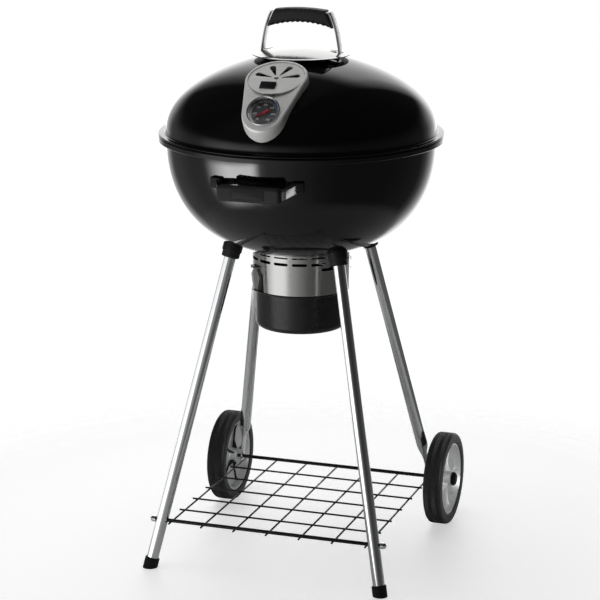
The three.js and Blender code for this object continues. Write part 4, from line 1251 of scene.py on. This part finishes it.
def studio_world():
    """A pale studio: bright behind, a broad soft source front left, and dark at the front right."""
    world = bpy.data.worlds.new("studio")
    bpy.context.scene.world = world
    world.use_nodes = True
    nodes, links = world.node_tree.nodes, world.node_tree.links
    nodes.clear()
    direction = nodes.new("ShaderNodeTexCoord").outputs["Generated"]
    split = nodes.new("ShaderNodeSeparateXYZ")
    links.new(direction, split.inputs[0])

    def math_node(operation, first, second=None, third=None):
        node = nodes.new("ShaderNodeMath")
        node.operation = operation
        for socket, value in zip(node.inputs, (first, second, third)):
            if value is None:
                continue
            if isinstance(value, (int, float)):
                socket.default_value = value
            else:
                links.new(value, socket)
        return node.outputs[0]

    def ramp(value, steps):
        node = nodes.new("ShaderNodeValToRGB")
        elements = node.color_ramp.elements
        elements[0].color = (steps[0][1],) * 3 + (1,)
        elements[1].color = (steps[-1][1],) * 3 + (1,)
        for degrees, level in steps[1:-1]:
            elements.new((degrees + 180) / 360).color = (level, level, level, 1)
        links.new(value, node.inputs["Fac"])
        return node.outputs["Color"]

    def at_height(start, end, first, last):
        return ranged(world.node_tree, height, start, end, first, last)

    azimuth = math_node("ARCTAN2", split.outputs["X"], math_node("MULTIPLY", split.outputs["Y"], -1.0))
    share = math_node("MULTIPLY_ADD", azimuth, 1 / (2 * math.pi), 0.5)
    height = split.outputs["Z"]
    low_sides = math_node("MULTIPLY", ramp(share, SIDE_LEVELS), at_height(-0.06, 0.22, 1.3, 0.04))
    low_back = math_node("MULTIPLY", ramp(share, LOW_BACK_LEVELS), at_height(0.08, 0.34, 2.4, 0.0))
    high_back = math_node("MULTIPLY", ramp(share, HIGH_BACK_LEVELS), at_height(0.08, 0.34, 0.0, 2.2))
    behind = math_node("MULTIPLY", high_back, at_height(0.62, 0.80, 1.0, 0.02))
    total = math_node("ADD", math_node("ADD", low_sides, low_back), math_node("ADD", behind, ROOM_LEVEL))

    lit = nodes.new("ShaderNodeBackground")
    links.new(total, lit.inputs["Strength"])
    seen = nodes.new("ShaderNodeBackground")
    seen.inputs["Strength"].default_value = 1.0
    seen.inputs["Color"].default_value = (1, 1, 1, 1)
    rays = nodes.new("ShaderNodeLightPath")
    mix = nodes.new("ShaderNodeMixShader")
    links.new(rays.outputs["Is Camera Ray"], mix.inputs["Fac"])
    links.new(lit.outputs[0], mix.inputs[1])
    links.new(seen.outputs[0], mix.inputs[2])
    output = nodes.new("ShaderNodeOutputWorld")
    links.new(mix.outputs[0], output.inputs["Surface"])


def floor_material():
    """Pale matt floor that fades out into the backdrop."""
    material = bpy.data.materials.new("floor")
    material.use_nodes = True
    nodes, links = material.node_tree.nodes, material.node_tree.links
    base = nodes["Principled BSDF"]
    base.inputs["Base Color"].default_value = (0.82, 0.82, 0.82, 1)
    base.inputs["Roughness"].default_value = 0.5
    base.inputs["Specular IOR Level"].default_value = 0.2
    base.inputs["Emission Color"].default_value = (1, 1, 1, 1)
    rays = nodes.new("ShaderNodeLightPath")
    glow = ranged(material.node_tree, rays.outputs["Is Camera Ray"], 0.0, 1.0, FLOOR_GLOW, FLOOR_GLOW_SEEN,
                  "LINEAR")
    links.new(glow, base.inputs["Emission Strength"])
    place = nodes.new("ShaderNodeTexCoord")
    distance = nodes.new("ShaderNodeVectorMath")
    distance.operation = "LENGTH"
    links.new(place.outputs["Object"], distance.inputs[0])
    edge = ranged(material.node_tree, distance.outputs["Value"], 0.75, 1.2, 1.0, 0.0)
    links.new(edge, base.inputs["Alpha"])
    return material


def make_floor():
    disc = turned([(0, -4), (1250, -4), (1250, 0), (0, 0)], 96)
    floor = object_of(moved(disc, Matrix.Scale(MM, 4)), "floor")
    floor.data.materials.append(floor_material())


def soft_light(name, place, target, width, height, power, mirrored_by=None):
    """A soft box nothing mirrors, except the pieces it is kept to when there are any."""
    light = bpy.data.lights.new(name, "AREA")
    light.shape = "RECTANGLE"
    light.size = width
    light.size_y = height
    light.energy = power
    thing = bpy.data.objects.new(name, light)
    thing.location = place
    thing.rotation_euler = (Vector(target) - Vector(place)).to_track_quat("-Z", "Y").to_euler()
    thing.visible_camera = False
    thing.visible_glossy = mirrored_by is not None
    if mirrored_by:
        thing.light_linking.receiver_collection = mirrored_by
    bpy.context.scene.collection.objects.link(thing)
    return thing


def make_camera():
    azimuth, elevation, distance = math.radians(19.12), math.radians(14.40), 4.973
    target = Vector((0, 0, 0.5503))
    back = Vector((math.sin(azimuth) * math.cos(elevation), -math.cos(azimuth) * math.cos(elevation),
                   math.sin(elevation)))
    camera = bpy.data.objects.new("camera", bpy.data.cameras.new("camera"))
    camera.data.lens = 139.5
    camera.data.sensor_width = 36
    camera.data.shift_x = -0.0023
    camera.location = target + back * distance
    camera.rotation_euler = (-back).to_track_quat("-Z", "Y").to_euler()
    bpy.context.scene.collection.objects.link(camera)
    bpy.context.scene.camera = camera


def fade_panel(thing, fades):
    """Dims a soft box towards its edges; each fade is the axis, where it starts and where it is full."""
    thing.data.use_nodes = True
    nodes, links = thing.data.node_tree.nodes, thing.data.node_tree.links
    split = nodes.new("ShaderNodeSeparateXYZ")
    links.new(nodes.new("ShaderNodeNewGeometry").outputs["Parametric"], split.inputs[0])
    strength = None
    for axis, start, full in fades:
        ease = ranged(thing.data.node_tree, split.outputs[axis], start, full, 0.0, 1.0)
        if strength is None:
            strength = ease
        else:
            product = nodes.new("ShaderNodeMath")
            product.operation = "MULTIPLY"
            links.new(strength, product.inputs[0])
            links.new(ease, product.inputs[1])
            strength = product.outputs[0]
    links.new(strength, nodes["Emission"].inputs["Strength"])


def make_bowl_light():
    """The bright patch on the bowl: one panel that fades in from all four of its edges."""
    facing = math.radians(-42)
    place = Vector((-0.475, -0.73, 0.41))
    aim = Vector((math.sin(facing), -math.cos(facing), 0))
    panel = soft_light("bowl_light", place, place - aim, 0.80, 0.755, 26, BOWL_SHEET)
    fade_panel(panel, (("X", 0.0, 0.5), ("X", 1.0, 0.80), ("Y", 0.05, 0.72), ("Y", 1.0, 0.92)))


make_camera()
studio_world()
make_floor()
soft_light("top_light", (-0.6, 0.2, 3.2), (0, 0, 0.3), 2.2, 2.2, 34)
bpy.context.scene.view_settings.view_transform = "Standard"

make_lid()
make_vent()
make_thermometer()
make_bowl()
bowl_handle()
make_ash_catcher()
make_sweep()
make_legs()
make_rack()
make_wheels()
soft_light("metal_light", (-1.39, -0.8, 0.42), (0, 0, 0.40), 3.0, 1.25, 11, BRIGHT_METAL)
soft_light("strap_light", (1.25, 0.45, 0.50), (0.08, -0.29, 0.85), 1.0, 0.8, 3.4, HANDLE_STRAP)
soft_light("wheel_light", (1.3, -1.0, 0.75), (0.1, 0.24, 0.10), 1.3, 1.0, 20, WHEEL_PARTS)
make_bowl_light()
